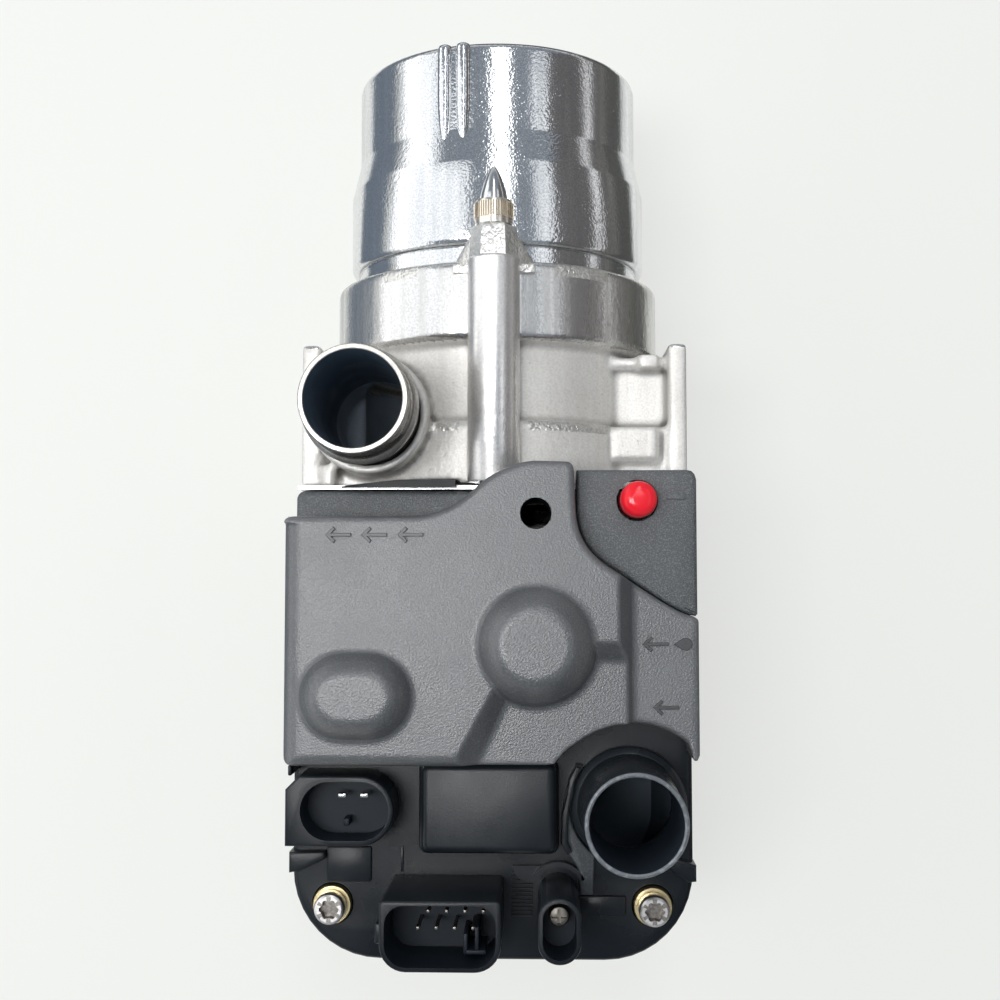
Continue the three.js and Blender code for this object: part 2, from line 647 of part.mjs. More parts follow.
function housingCuts() {
  const { x, y, shelfR } = HOUSING_OPENING;
  const shelf = rodZ(AIR.x, AIR.y, shelfR, [60, 95], ROUND);
  const opening = cut(box([-x, x], y, [70, HOUSING_TOP_Z + 1]), shelf);
  const burnerPort = rodY(0, AXIS_Z, BURNER_PORT_R, [-4, 1], ROUND);
  const airHole = rodZ(AIR.x, AIR.y, AIR.boreR, [70, HOUSING_TOP_Z + 1], ROUND);
  const fuelHole = rodZ(FUEL.x, FUEL.y, FUEL.boreR, [55, HOUSING_TOP_Z + 1], SMALL);
  const pumpSlot = box([PUMP.x - 3, PUMP.x + 6], [PUMP.y + 1, PUMP.y + 4.5], [70, 90]);
  const harnessSlot = box([HARNESS.x - 7, HARNESS.x + 10], [HARNESS.y - 1.2, HARNESS.y + 5], [70, 90]);
  const auxHole = rodZ(AUX.x, AUX.y + AUX_CONTACT.y, 3, [70, 90], SMALL);
  const sensorHole = rodY(SENSOR.x, SENSOR.z, SENSOR.boreR, [-4, 1], SMALL);
  const corners = cornerPlaces().map(cornerBore);
  return [opening, burnerPort, airHole, fuelHole, pumpSlot, harnessSlot, auxHole, sensorHole, ...corners];
}

// Stepped bore for a sleeve and the screw below it.
function cornerBore([x, y]) {
  const seat = rodZ(x, y, CORNER.sleeveR + GAP, [CORNER.sleeveLow - GAP, 90]);
  const thread = rodZ(x, y, CORNER_SCREW.r + GAP, [CORNER_SCREW.low - 1, CORNER.sleeveLow], SMALL);
  return join(seat, thread);
}

function blowerHousing() {
  const outside = prism(housingOutline(), [0, HOUSING_TOP_Z], 4);
  const wall = HOUSING_SIDE_WALL;
  const hollow = prism(housingOutline(wall), [wall, HOUSING_TOP_Z - wall]);
  const cornerPosts = cornerPlaces().map(([x, y]) => rodZ(x, y, CORNER.postR, [1, HOUSING_TOP_Z - 1]));
  const boltLug = box(BOLT_LUG.x, [BOLT_LUG.y, HOUSING_FACE_Y], [HOUSING_TOP_Z - 2, BOLT_LUG.top]);
  const boltBore = rodY(COLUMN_X, COLUMN_Z, BOLT_BORE_R, [-8, 1]);
  const fuelBoss = rodZ(FUEL.x, FUEL.y, FUEL.bossR, [FUEL.bossLow, HOUSING_TOP_Z - 1], SMALL);
  const fuelBossTrim = box([20, 44], [HOUSING_FACE_Y, 5], [50, 90]);
  const bosses = join(...cornerPosts, ...blowerPosts(), cut(fuelBoss, fuelBossTrim), boltLug);
  return cut(join(cut(outside, hollow), bosses, plateFeatures()), boltBore, ...housingCuts());
}

// Line where the two covers meet, from the right side up to the tongue, moved right by a gap.
function seam(gap = 0) {
  const [side, sidePull, middlePull, middle, turnPull, tonguePull, tongue] = SEAM.map(([x, y]) => {
    return new THREE.Vector2(x + gap, y);
  });
  const lower = new THREE.CubicBezierCurve(side, sidePull, middlePull, middle).getPoints(5);
  const upper = new THREE.CubicBezierCurve(middle, turnPull, tonguePull, tongue).getPoints(5);
  return [...lower, ...upper.slice(1)];
}

// Outline of the control unit cover, anticlockwise from its lower left corner.
function coverOutline() {
  const shape = new THREE.Shape();
  const lowY = COVER_CORNER[0][1];
  shape.moveTo(-42.6, lowY);
  COVER_CORNER.forEach((point) => shape.lineTo(...point));
  shape.absarc(AIR.x, AIR.y, COVER_ARC.r, COVER_ARC.from, COVER_ARC.to, true);
  shape.lineTo(44.6, lowY);
  shape.lineTo(HALF_WIDTH, -59);
  shape.lineTo(HALF_WIDTH, -29.6);
  seam().forEach((point) => shape.lineTo(point.x, point.y));
  shape.lineTo(TONGUE.right, FUEL_COVER.endY);
  TONGUE.tip.forEach((point) => shape.lineTo(...point));
  TONGUE.curves.forEach((curve) => shape.bezierCurveTo(...curve));
  COVER_LEFT.forEach((point) => shape.lineTo(...point));
  return shape;
}

// What the steps down to the right side and to the lower part take off the cover's top.
function coverSteps() {
  const { top, south, side, stepX } = COVER;
  const sideProfile = [
    new THREE.Vector2(stepX[0], top),
    new THREE.Vector2(stepX[1], side),
    new THREE.Vector2(60, side),
    new THREE.Vector2(60, top + 20),
    new THREE.Vector2(stepX[0], top + 20),
  ];
  const sideStep = prism(sideProfile, [-80, 10]).rotate([90, 0, 0]).translate([0, -70, 0]);
  const southWedge = prism(SOUTH_STEP.map(([x, y]) => new THREE.Vector2(x, y)), [south, top + 20]);
  return join(sideStep, southWedge);
}

function bulges() {
  const { x, y, baseR, topR, top } = ROUND_BULGE;
  const foot = rodZ(x, y, baseR + 0.6, [COVER.south - 2, COVER.top], 28, baseR);
  const cap = rodZ(x, y, baseR, [COVER.top - 0.01, top], 28, topR);
  const { half, flat } = OVAL_BULGE;
  const steps = 3;
  const layers = Array.from({ length: steps }, (_, i) => {
    const rise = (i + 1) / steps;
    const size = half.map((h, k) => h + (flat[k] - h) * ((i + 0.5) / steps) ** 1.6);
    const layerTop = COVER.top + (OVAL_BULGE.top - COVER.top) * rise;
    return prism(oval(OVAL_BULGE.x, OVAL_BULGE.y, size), [COVER.top - 1, layerTop], 3);
  });
  return join(foot, cap, ...layers);
}

// Room in the cover's skirt for the body's flange, the bolt column and the bolt's lug.
function coverNotches() {
  const clear = 0.4;
  const flange = rodY(0, AXIS_Z, FLANGE_R + clear, [-0.3, 8], ROUND);
  const column = rodY(COLUMN_X, COLUMN_Z, COLUMN_R + clear, [-0.3, 8]);
  const lugX = [BOLT_LUG.x[0] - clear, BOLT_LUG.x[1] + clear];
  const lug = box(lugX, [BOLT_LUG.y - clear, 2], [80, BOLT_LUG.top + clear]);
  return [flange, column, lug];
}

function controlUnitCover() {
  const { low, top, wall } = COVER;
  const outside = join(cut(prism(coverOutline(), [low, top], 5), coverSteps()), bulges());
  const hole = rodZ(COVER_HOLE.x, COVER_HOLE.y, COVER_HOLE.r, [low, top + 5], FINE);
  return cut(outside, shellSpace(outside, wall), hole, ...coverNotches());
}

// The fuel side cover fills the corner that the main cover leaves.
function fuelCoverOutline() {
  const right = HALF_WIDTH - GAP;
  const top = FUEL_COVER.endY;
  return [
    new THREE.Vector2(right, -28.4),
    new THREE.Vector2(right, top - 2.1),
    new THREE.Vector2(right - 0.6, top - 0.6),
    new THREE.Vector2(right - 2.1, top),
    new THREE.Vector2(TONGUE.right + SEAM_GAP, top),
    ...seam(SEAM_GAP).reverse(),
  ];
}

function fuelSideCover() {
  const { top, wall } = FUEL_COVER;
  const outside = prism(fuelCoverOutline(), [COVER.low, top]);
  const hole = rodZ(FUEL.x, FUEL.y, CAP_HOLE_R, [COVER.low, top + 1]);
  return cut(outside, shellSpace(outside, wall), hole);
}

function airIntakePipe() {
  const { x, y, outerR, boreR, top, flangeR, flangeTop } = AIR;
  return turnZ([
    [boreR, SOCKET_BASE_Z],
    [flangeR, SOCKET_BASE_Z],
    [flangeR, flangeTop - 1],
    [outerR + 0.5, flangeTop],
    [outerR, top - 0.5],
    [outerR - 0.4, top],
    [boreR + 0.2, top],
    [boreR, top - 0.4],
  ], x, y);
}

function pumpSocket() {
  const { x, y, half, cavity, top, floor } = PUMP;
  const outside = prism(oval(x, y, half), [SOCKET_BASE_Z, top]);
  const block = box([-HOUSING_X + 0.4, x - 2], [y - half[1], y + half[1]], [SOCKET_BASE_Z, top]);
  const hollow = prism(oval(x, y, cavity), [floor, top + 1]);
  const slots = BLADE.x.map((dx) => {
    const slotX = [x + dx - BLADE.size[0] / 2 - GAP, x + dx + BLADE.size[0] / 2 + GAP];
    const slotY = [y + BLADE.y - BLADE.size[1] / 2 - GAP, y + BLADE.y + BLADE.size[1] / 2 + GAP];
    return box(slotX, slotY, [70, floor + 1]);
  });
  return cut(join(outside, block), hollow, ...slots);
}

function pumpBlade(dx) {
  const x = PUMP.x + dx;
  const y = PUMP.y + BLADE.y;
  const [width, thick] = BLADE.size;
  return box([x - width / 2, x + width / 2], [y - thick / 2, y + thick / 2], [BLADE.low, BLADE.top]);
}

function pinPlaces() {
  return PIN.rows.flatMap((dy, row) => [0, 1, 2, 3].map((column) => {
    return [HARNESS.x + PIN.offset[row] + column * PIN.pitch, HARNESS.y + dy];
  }));
}

function harnessSocket() {
  const { x, y, half, cavity, top, floor } = HARNESS;
  const outside = prism(oval(x, y, half, 1.2, 5.6), [SOCKET_BASE_Z, top]);
  const tab = box([x - half[0] - 1.3, x - half[0] + 1], [y - 2.6, y + 1.6], [SOCKET_BASE_Z, top - 4]);
  const hollow = prism(oval(x, y, cavity, 4, 4.6), [floor, top + 1]);
  const holes = pinPlaces().map(([px, py]) => rodZ(px, py, PIN.size / 2 + GAP + 0.15, [70, floor + 1], 8));
  return cut(join(outside, tab), hollow, ...holes);
}

function harnessPin([x, y]) {
  const half = PIN.size / 2;
  return box([x - half, x + half], [y - half, y + half], [PIN.low, PIN.top]);
}

function auxSocket() {
  const { x, y, half, cavity, top, floor } = AUX;
  const outside = prism(oval(x, y, half), [SOCKET_BASE_Z, top]);
  const hollow = prism(oval(x, y, cavity), [floor, top + 1]);
  const hole = rodZ(x, y + AUX_CONTACT.y, AUX_CONTACT.r + GAP, [70, floor + 1], SMALL);
  return cut(outside, hollow, hole);
}

function auxContact() {
  const { y, r, low, top, slot } = AUX_CONTACT;
  const centreY = AUX.y + y;
  const rod = rodZ(AUX.x, centreY, r, [low, top], FINE);
  const [long, short] = [1.6, slot / 2];
  const z = [top - 1.2, top + 1];
  const across = box([AUX.x - long, AUX.x + long], [centreY - short, centreY + short], z);
  const along = box([AUX.x - short, AUX.x + short], [centreY - long, centreY + long], z);
  return cut(rod, across, along);
}

function cornerSleeve([x, y]) {
  const { sleeveR, sleeveLow, sleeveTop } = CORNER;
  const bore = CORNER_SCREW.r + GAP;
  return turnZ([
    [bore, sleeveLow],
    [sleeveR, sleeveLow],
    [sleeveR, sleeveTop],
    [bore, sleeveTop],
  ], x, y, FINE);
}

function cornerScrew([x, y]) {
  const { r, low, headR, headZ } = CORNER_SCREW;
  const shank = rodZ(x, y, r, [low, headZ[0] + 0.5], SMALL);
  const head = rodZ(x, y, headR, headZ);
  const socket = rodZ(x, y, 1.9, [headZ[1] - 2, headZ[1] + 1], 6);
  return cut(join(shank, head), socket);
}

function controlBoard() {
  const board = box([-BOARD.x, BOARD.x], BOARD.y, BOARD.z);
  return cut(board, rodZ(BLOWER.x, BLOWER.y, BOARD.cutR, [70, 85]));
}

function capacitor(x) {
  return rodZ(x, CAPACITOR.y, CAPACITOR.r, CAPACITOR.z, FINE);
}

// The pieces from here on are drawn about the blower's own axis.
function channelPlate() {
  const { r, z, grooveR, depth } = CHANNEL;
  return turnZ([
    [0, z[0]],
    [r, z[0]],
    [r, z[1] - 0.1],
    [grooveR[1], z[1] - 0.1],
    [grooveR[1] - 1.6, z[1] - depth],
    [grooveR[0] + 1.6, z[1] - depth],
    [grooveR[0], z[1] - 0.1],
    [5, z[1] - 0.1],
    [5, z[1] - 2],
    [0, z[1] - 2],
  ], 0, 0, INNER);
}

function impeller() {
  const { r, z, plate, hubR, vanes } = IMPELLER;
  const disc = rodZ(0, 0, r, [z[1] - plate, z[1]], INNER);
  const hub = rodZ(0, 0, hubR, z);
  const blades = ring(vanes, (angle) => {
    const geometry = new THREE.BoxGeometry(8.5, 0.9, z[1] - plate - z[0] + 0.4);
    geometry.translate(18, 0, (z[0] + z[1] - plate + 0.4) / 2);
    geometry.rotateZ(angle);
    return solid(geometry);
  });
  return cut(join(disc, hub, ...blades), rodZ(0, 0, SHAFT.boreR, [z[0] - 1, z[1] + 1]));
}

function chamberLid() {
  const { r, innerR, z, underside } = CHAMBER_LID;
  return turnZ([
    [BEARING.r + 0.2, underside],
    [innerR, underside],
    [innerR, z[0]],
    [r, z[0]],
    [r, z[1]],
    [BEARING.r + 0.2, z[1]],
  ], 0, 0, INNER);
}

function motorCan() {
  const { r, wall, z, neckR, neckTop } = MOTOR;
  const seat = BEARING.r + 0.2;
  return turnZ([
    [r - wall, z[0]],
    [r, z[0]],
    [r, z[1] - 1],
    [r - 1, z[1]],
    [neckR, z[1]],
    [neckR, neckTop],
    [0, neckTop],
    [0, neckTop - 1.6],
    [seat, neckTop - 1.6],
    [seat, z[1] - wall],
    [r - wall, z[1] - wall],
  ], 0, 0, INNER);
}

function magnetRing() {
  const [inner, outer] = MAGNET.r;
  const [z0, z1] = MAGNET.z;
  return turnZ([[inner, z0], [outer, z0], [outer, z1], [inner, z1]], 0, 0, INNER);
}

function armature() {
  const core = rodZ(0, 0, ARMATURE.r, ARMATURE.z, INNER);
  const slots = ring(ARMATURE.slots, (angle) => {
    const geometry = new THREE.BoxGeometry(4, 1.8, 60);
    geometry.translate(ARMATURE.slotR + 2, 0, 76);
    geometry.rotateZ(angle);
    return solid(geometry);
  });
  return cut(core, rodZ(0, 0, SHAFT.boreR, [50, 100]), ...slots);
}

function motorShaft() {
  return rodZ(0, 0, SHAFT.r, SHAFT.z);
}

function bearing([z0, z1]) {
  return turnZ([[SHAFT.boreR, z0], [BEARING.r, z0], [BEARING.r, z1], [SHAFT.boreR, z1]], 0, 0, FINE);
}

function exchangerGroup() {
  const group = new THREE.Group();
  group.position.set(0, 0, AXIS_Z);
  group.add(
    mesh('jacket_can', jacketCan(), MATERIAL.brightCast),
    mesh('jacket_seal_ring', jacketSealRing(), MATERIAL.rubber),
    mesh('flame_cup', flameCup(), MATERIAL.satinCast),
    mesh('burner_tube', burnerTube(), MATERIAL.steel),
    mesh('burner_head', burnerHead(), MATERIAL.steel),
    mesh('evaporator_fleece', evaporatorFleece(), MATERIAL.fleece),
    mesh('glow_plug', glowPlug(), MATERIAL.ceramic),
    mesh('body_gasket', bodyGasket(), MATERIAL.rubber),
  );
  return group;
}

function castingGroup() {
  const group = new THREE.Group();
  group.add(
    mesh('heat_exchanger_body', heatExchangerBody(), MATERIAL.satinCast),
    mesh('exhaust_pipe', exhaustPipe(), MATERIAL.satinCast),
    mesh('through_bolt', throughBolt(), MATERIAL.steel),
    mesh('knurled_insert', knurledInsert(), MATERIAL.brass),
    mesh('burner_plate', burnerPlate(), MATERIAL.steel),
    mesh('overheat_sensor', overheatSensor(), MATERIAL.steel),
    mesh('fuel_pipe', fuelPipe(), MATERIAL.steel),
    mesh('fuel_pipe_cap', fuelCap(), MATERIAL.redCap),
  );
  return group;
}

function housingGroup() {
  const group = new THREE.Group();
  group.add(
    mesh('blower_housing', blowerHousing(), MATERIAL.housing),
    mesh('control_unit_cover', controlUnitCover(), MATERIAL.cover),
    mesh('fuel_side_cover', fuelSideCover(), MATERIAL.fuelCover),
    mesh('air_intake_pipe', airIntakePipe(), MATERIAL.housing),
    mesh('control_board', controlBoard(), MATERIAL.board),
  );
  cornerPlaces().forEach((place, i) => {
    group.add(mesh(`corner_sleeve_${i + 1}`, cornerSleeve(place), MATERIAL.brass));
    group.add(mesh(`corner_screw_${i + 1}`, cornerScrew(place), MATERIAL.steel));
  });
  CAPACITOR.x.forEach((x, i) => {
    group.add(mesh(`capacitor_${i + 1}`, capacitor(x), MATERIAL.steel));
  });
  return group;
}

function socketGroup() {
  const group = new THREE.Group();
  group.add(
    mesh('pump_socket', pumpSocket(), MATERIAL.housing),
    mesh('harness_socket', harnessSocket(), MATERIAL.housing),
    mesh('aux_socket', auxSocket(), MATERIAL.housing),
    mesh('aux_contact', auxContact(), MATERIAL.steel),
  );
  BLADE.x.forEach((dx, i) => {
    group.add(mesh(`pump_blade_${i + 1}`, pumpBlade(dx), MATERIAL.steel));
  });
  pinPlaces().forEach((place, i) => {
    group.add(mesh(`harness_pin_${i + 1}`, harnessPin(place), MATERIAL.steel));
  });
  return group;
}

function blowerGroup() {
  const group = new THREE.Group();
  group.position.set(BLOWER.x, BLOWER.y, 0);
  group.add(
    mesh('channel_plate', channelPlate(), MATERIAL.satinCast),
    mesh('impeller', impeller(), MATERIAL.fuelCover),
    mesh('chamber_lid', chamberLid(), MATERIAL.satinCast),
    mesh('motor_can', motorCan(), MATERIAL.steel),
    mesh('magnet_ring', magnetRing(), MATERIAL.fuelCover),
    mesh('armature', armature(), MATERIAL.copper),
    mesh('motor_shaft', motorShaft(), MATERIAL.steel),
    mesh('bearing_low', bearing(BEARING.low), MATERIAL.brass),
    mesh('bearing_high', bearing(BEARING.high), MATERIAL.brass),
  );
  return group;
}

const heater = new THREE.Group();
heater.name = 'diesel_coolant_heater';
heater.add(exchangerGroup(), castingGroup(), housingGroup(), socketGroup(), blowerGroup());

export default heater;
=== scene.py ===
import math

import bpy
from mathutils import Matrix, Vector


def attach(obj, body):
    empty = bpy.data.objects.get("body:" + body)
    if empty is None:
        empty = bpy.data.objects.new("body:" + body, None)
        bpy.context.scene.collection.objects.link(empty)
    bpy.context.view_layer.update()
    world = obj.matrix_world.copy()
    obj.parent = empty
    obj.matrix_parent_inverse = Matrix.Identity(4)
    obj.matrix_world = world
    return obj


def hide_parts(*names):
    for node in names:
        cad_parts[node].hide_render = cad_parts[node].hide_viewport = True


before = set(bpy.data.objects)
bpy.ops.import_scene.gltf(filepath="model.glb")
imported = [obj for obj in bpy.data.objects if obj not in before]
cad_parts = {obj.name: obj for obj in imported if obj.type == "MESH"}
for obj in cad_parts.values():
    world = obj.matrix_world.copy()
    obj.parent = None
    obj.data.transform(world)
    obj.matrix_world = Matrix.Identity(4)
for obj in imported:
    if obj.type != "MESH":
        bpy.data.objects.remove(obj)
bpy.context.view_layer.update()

# Camera: held over the heater and looking almost straight down, a little right of the middle.
# It is tilted by a few degrees, so the upright exhaust pipe leans to the upper left.
bpy.ops.object.camera_add(location=(0.01046, -0.0205, 0.376))
camera = bpy.context.object
camera.name = "camera_over_heater"
camera.rotation_euler = (math.radians(3.4736), math.radians(1.6907), 0)
camera.data.lens = 46.26
camera.data.sensor_width = 36
camera.data.clip_start = 0.01
bpy.context.scene.camera = camera
bpy.context.scene.view_settings.view_transform = "Standard"

# Studio: a plain pale floor and six lamp boxes, two overhead, two on the left and two on the right.
# The bright can shows them as pale stripes, and the dark cards around the heater as dark ones.


def put(tree, kind, sockets=None, **settings):
    """Adds a shader node and fills its sockets with values or with other nodes' outputs."""
    made = tree.nodes.new("ShaderNode" + kind)
    for key, value in settings.items():
        setattr(made, key, value)
    for key, value in (sockets or {}).items():
        if isinstance(value, bpy.types.NodeSocket):
            tree.links.new(value, made.inputs[key])
        else:
            made.inputs[key].default_value = value
    return made


def sums(tree, kind, a, b):
    return put(tree, "Math", {0: a, 1: b}, operation=kind).outputs[0]


def times(tree, a, b):
    return sums(tree, "MULTIPLY", a, b)


def noise(tree, place, scale, detail):
    return put(tree, "TexNoise", {"Vector": place, "Scale": scale, "Detail": detail}).outputs["Fac"]


def tinted(tree, factor, a, b):
    return put(tree, "Mix", {0: factor, 6: a, 7: b}, data_type="RGBA").outputs[2]


room = bpy.data.worlds.new("pale_room")
room.use_nodes = True
sky = room.node_tree
toward = put(sky, "SeparateXYZ", {0: put(sky, "TexCoord").outputs["Generated"]}).outputs
dimmer_right = times(sky, sums(sky, "MAXIMUM", toward["X"], 0.0), 0.45)
shade = put(sky, "ValToRGB", {0: sums(sky, "ADD", toward["Z"], dimmer_right)})
shade.color_ramp.elements[0].position = 0.08
shade.color_ramp.elements[0].color = (0.72, 0.73, 0.74, 1)
shade.color_ramp.elements[1].position = 0.4
shade.color_ramp.elements[1].color = (0.27, 0.3, 0.34, 1)
sky.links.new(shade.outputs[0], sky.nodes["Background"].inputs["Color"])


def seen_straight(tree):
    """1 where a camera, mirror or glass ray arrives, and 0 for the soft light from all around."""
    ray = put(tree, "LightPath").outputs
    straight = sums(tree, "MAXIMUM", ray["Is Camera Ray"], ray["Is Glossy Ray"])
    return sums(tree, "MAXIMUM", straight, ray["Is Transmission Ray"])


glow = sums(sky, "ADD", times(sky, seen_straight(sky), 0.4), 0.6)
sky.links.new(glow, sky.nodes["Background"].inputs["Strength"])
bpy.context.scene.world = room


def lamp_box(name, place, tilt, width, length, brightness):
    bpy.ops.object.light_add(type="AREA", location=place, rotation=(0, math.radians(tilt), 0))
    lamp = bpy.context.object
    lamp.name = name
    lamp.data.shape = "RECTANGLE"
    lamp.data.size = width
    lamp.data.size_y = length
    lamp.data.energy = brightness * width * length * math.pi
    lamp.visible_camera = False


lamp_box("lamp_over_can", (0.0735, 0.75, 0.95), 0, 0.2, 1.3, 4.0)
lamp_box("lamp_over_cover", (-0.23, -0.04, 0.95), 0, 0.4, 0.2, 15.0)
lamp_box("lamp_left", (-0.5, 0.15, 0.27), -80, 0.34, 1.0, 1.05)
lamp_box("lamp_upper_left", (-0.57, 0.3, 0.84), -36, 0.54, 0.8, 1.0)
lamp_box("lamp_right", (0.47, 0.2, 0.62), 38, 0.24, 0.9, 0.7)
lamp_box("lamp_right_low", (0.47, 0.2, 0.1), 88, 0.06, 0.9, 0.75)


def pick_nothing():
    bpy.ops.object.select_all(action="DESELECT")


def new_material(name):
    """An empty material, its node tree and the sockets of its shader."""
    made = bpy.data.materials.new(name)
    made.use_nodes = True
    return made, made.node_tree, made.node_tree.nodes["Principled BSDF"].inputs


pick_nothing()
bpy.ops.mesh.primitive_plane_add(size=6, location=(0, 0, -0.0002))
floor = bpy.context.object
floor.name = "pale_floor"
paper, fibre, paper_skin = new_material("floor_paper")
direct = seen_straight(fibre)
fibre.links.new(tinted(fibre, direct, (0.9, 0.905, 0.88, 1), (0.3, 0.305, 0.29, 1)), paper_skin["Base Color"])
fibre.links.new(tinted(fibre, direct, (0, 0, 0, 1), (0.6, 0.605, 0.585, 1)), paper_skin["Emission Color"])
paper_skin["Emission Strength"].default_value = 1.0
paper_skin["Roughness"].default_value = 0.9
floor.data.materials.append(paper)


def dark_card(name, place, tilt, width, length, colour):
    """A card that only shiny surfaces show, so that it throws no shadow and darkens nothing."""
    bpy.ops.mesh.primitive_plane_add(size=1, location=place, rotation=(0, math.radians(tilt), 0))
    card = bpy.context.object
    card.name = name
    card.scale = (width, length, 1)
    for ray in ("camera", "diffuse", "shadow", "transmission"):
        setattr(card, "visible_" + ray, False)
    felt, _, felt_skin = new_material(name)
    felt_skin["Base Color"].default_value = (*colour, 1)
    felt_skin["Roughness"].default_value = 1.0
    card.data.materials.append(felt)
    pick_nothing()


dark_card("card_left", (-0.42, 0.2, 0.001), 0, 0.64, 0.9, (0.15, 0.18, 0.22))
dark_card("card_right_near", (0.16, 0.2, 0.001), 0, 0.13, 0.9, (0.1, 0.1, 0.09))
dark_card("card_right_far", (0.36, 0.2, 0.001), 0, 0.27, 0.9, (0.2, 0.19, 0.17))
dark_card("card_right_wall", (0.5, 0.05, 0.27), -90, 0.56, 1.2, (0.16, 0.15, 0.15))
dark_card("card_past_can", (0, 0.43, 0.001), 0, 0.19, 0.52, (0.1, 0.1, 0.11))

# Jacket can: a cup of die-cast aluminium over the heat exchanger, polished almost to a mirror.
# It is drawn in to a smaller round towards its closed end, where two pointed ribs stand out.
MM = 0.001
AXIS_Z = 44


def pick(piece):
    pick_nothing()
    piece.select_set(True)
    bpy.context.view_layer.objects.active = piece


def switch(mode):
    bpy.ops.object.mode_set(mode=mode)


def all_of_it():
    bpy.ops.mesh.select_all(action="SELECT")


def trace(name, corners):
    """A line drawn through corners in millimetres, by extruding one point from each to the next."""
    pick_nothing()
    bpy.ops.mesh.primitive_plane_add(size=MM)
    line = bpy.context.object
    line.name = name
    switch("EDIT")
    bpy.ops.mesh.select_mode(type="VERT")
    bpy.ops.mesh.merge(type="CENTER")
    bpy.ops.transform.translate(value=Vector(corners[0]) * MM)
    for here, there in zip(corners, corners[1:]):
        step = (Vector(there) - Vector(here)) * MM
        bpy.ops.mesh.extrude_vertices_move(TRANSFORM_OT_translate={"value": step})
    return line


def close_up():
    all_of_it()
    bpy.ops.mesh.remove_doubles(threshold=0.002 * MM)
    bpy.ops.mesh.dissolve_degenerate(threshold=0.002 * MM)
    bpy.ops.mesh.delete_loose()
    all_of_it()
    bpy.ops.mesh.normals_make_consistent(inside=False)
    switch("OBJECT")


def turned(name, outline, centre, along="Z", steps=96):
    """A round piece: an outline of (radius, height) pairs spun about an upright line, or one along Y."""
    x, y, z = centre
    if along == "Z":
        corners = [(x + radius, y, height) for radius, height in outline]
        axis = (0, 0, 1)
    else:
        corners = [(x + radius, height, z) for radius, height in outline]
        axis = (0, 1, 0)
    piece = trace(name, corners + corners[:1])
    all_of_it()
    bpy.ops.mesh.spin(steps=steps, angle=2 * math.pi, center=Vector(centre) * MM, axis=axis)
    close_up()
    return piece


def joined(name, *parts):
    pick_nothing()
    for part in parts:
        part.select_set(True)
    bpy.context.view_layer.objects.active = parts[0]
    bpy.ops.object.join()
    whole = bpy.context.object
    whole.name = name
    return whole


def shaded(piece, angle=32):
    pick(piece)
    bpy.ops.object.shade_smooth_by_angle(angle=math.radians(angle))
    return piece


def fitted(piece, slot, finish, *nodes, body="heater"):
    """Gives a finished piece its material and its body, and hides the plain solids that it stands for."""
    piece.data.materials.clear()
    piece.data.materials.append(finish)
    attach(piece, body)
    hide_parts(*nodes)


def refinished(piece, finish, inside):
    """Gives a second material to the faces whose middle, in millimetres, is inside a region."""
    piece.data.materials.append(finish)
    for face in piece.data.polygons:
        if inside(*(face.center / MM)):
            face.material_index = len(piece.data.materials) - 1


def effect(name, inputs, outputs):
    """An empty node group with named inputs and outputs."""
    tree = bpy.data.node_groups.new(name, "ShaderNodeTree")
    for label, value in inputs.items():
        kind = "NodeSocketColor" if isinstance(value, tuple) else "NodeSocketFloat"
        tree.interface.new_socket(label, in_out="INPUT", socket_type=kind).default_value = value
    for label, kind in outputs.items():
        tree.interface.new_socket(label, in_out="OUTPUT", socket_type="NodeSocket" + kind)
    return tree, tree.nodes.new("NodeGroupInput").outputs, tree.nodes.new("NodeGroupOutput").inputs


def spread(tree, value, low, high, to_low=0.0, to_high=1.0):
    """Maps a value from one range to another and stops at the ends."""
    return put(tree, "MapRange", {0: value, 1: low, 2: high, 3: to_low, 4: to_high}).outputs[0]


# Cast skin: grain from the mould, soft dimples in patches, small pits, and streaks where metal flowed.
cast_skin, skin, made = effect(
    "cast_skin",
    {"Colour": (0.8, 0.8, 0.8, 1), "Dark": (0.5, 0.5, 0.5, 1), "Grain": 900.0, "Dimples": 700.0,
     "Streaks": 0.3, "Speckle": 0.3, "Gloss": 0.3, "Spread": 0.1},
    {"Colour": "Color", "Roughness": "Float", "Height": "Float"})
spot = put(cast_skin, "TexCoord").outputs["Object"]
grain = noise(cast_skin, spot, skin["Grain"], 3.0)
pitted = put(cast_skin, "TexVoronoi", {"Vector": spot, "Scale": skin["Dimples"], "Randomness": 1.0})
pit = spread(cast_skin, pitted.outputs["Distance"], 0.0, 0.22, 1.0, 0.0)
few = noise(cast_skin, spot, 90.0, 1.0)
pit = times(cast_skin, pit, spread(cast_skin, few, 0.52, 0.62))
dimple = noise(cast_skin, spot, skin["Dimples"], 1.0)
areas = noise(cast_skin, spot, 60.0, 2.0)
dimple = times(cast_skin, dimple, spread(cast_skin, areas, 0.42, 0.62, 0.25, 1.0))
drawn = put(cast_skin, "Mapping", {"Vector": spot, "Scale": (1.0, 0.06, 1.0)}).outputs[0]
streak = noise(cast_skin, drawn, 420.0, 4.0)
cloud = noise(cast_skin, spot, 45.0, 3.0)
stain = spread(cast_skin, cloud, 0.35, 0.75)
stripe = spread(cast_skin, streak, 0.3, 0.7)
mark = put(cast_skin, "Mix", {0: skin["Streaks"], 2: stain, 3: stripe}, data_type="FLOAT").outputs[0]
tone = tinted(cast_skin, times(cast_skin, mark, 0.6), skin["Colour"], skin["Dark"])
tone = tinted(cast_skin, times(cast_skin, pit, 0.6), tone, skin["Dark"])
flake = times(cast_skin, spread(cast_skin, grain, 0.42, 0.6), skin["Speckle"])
tone = tinted(cast_skin, flake, tone, skin["Dark"])
cast_skin.links.new(tone, made["Colour"])
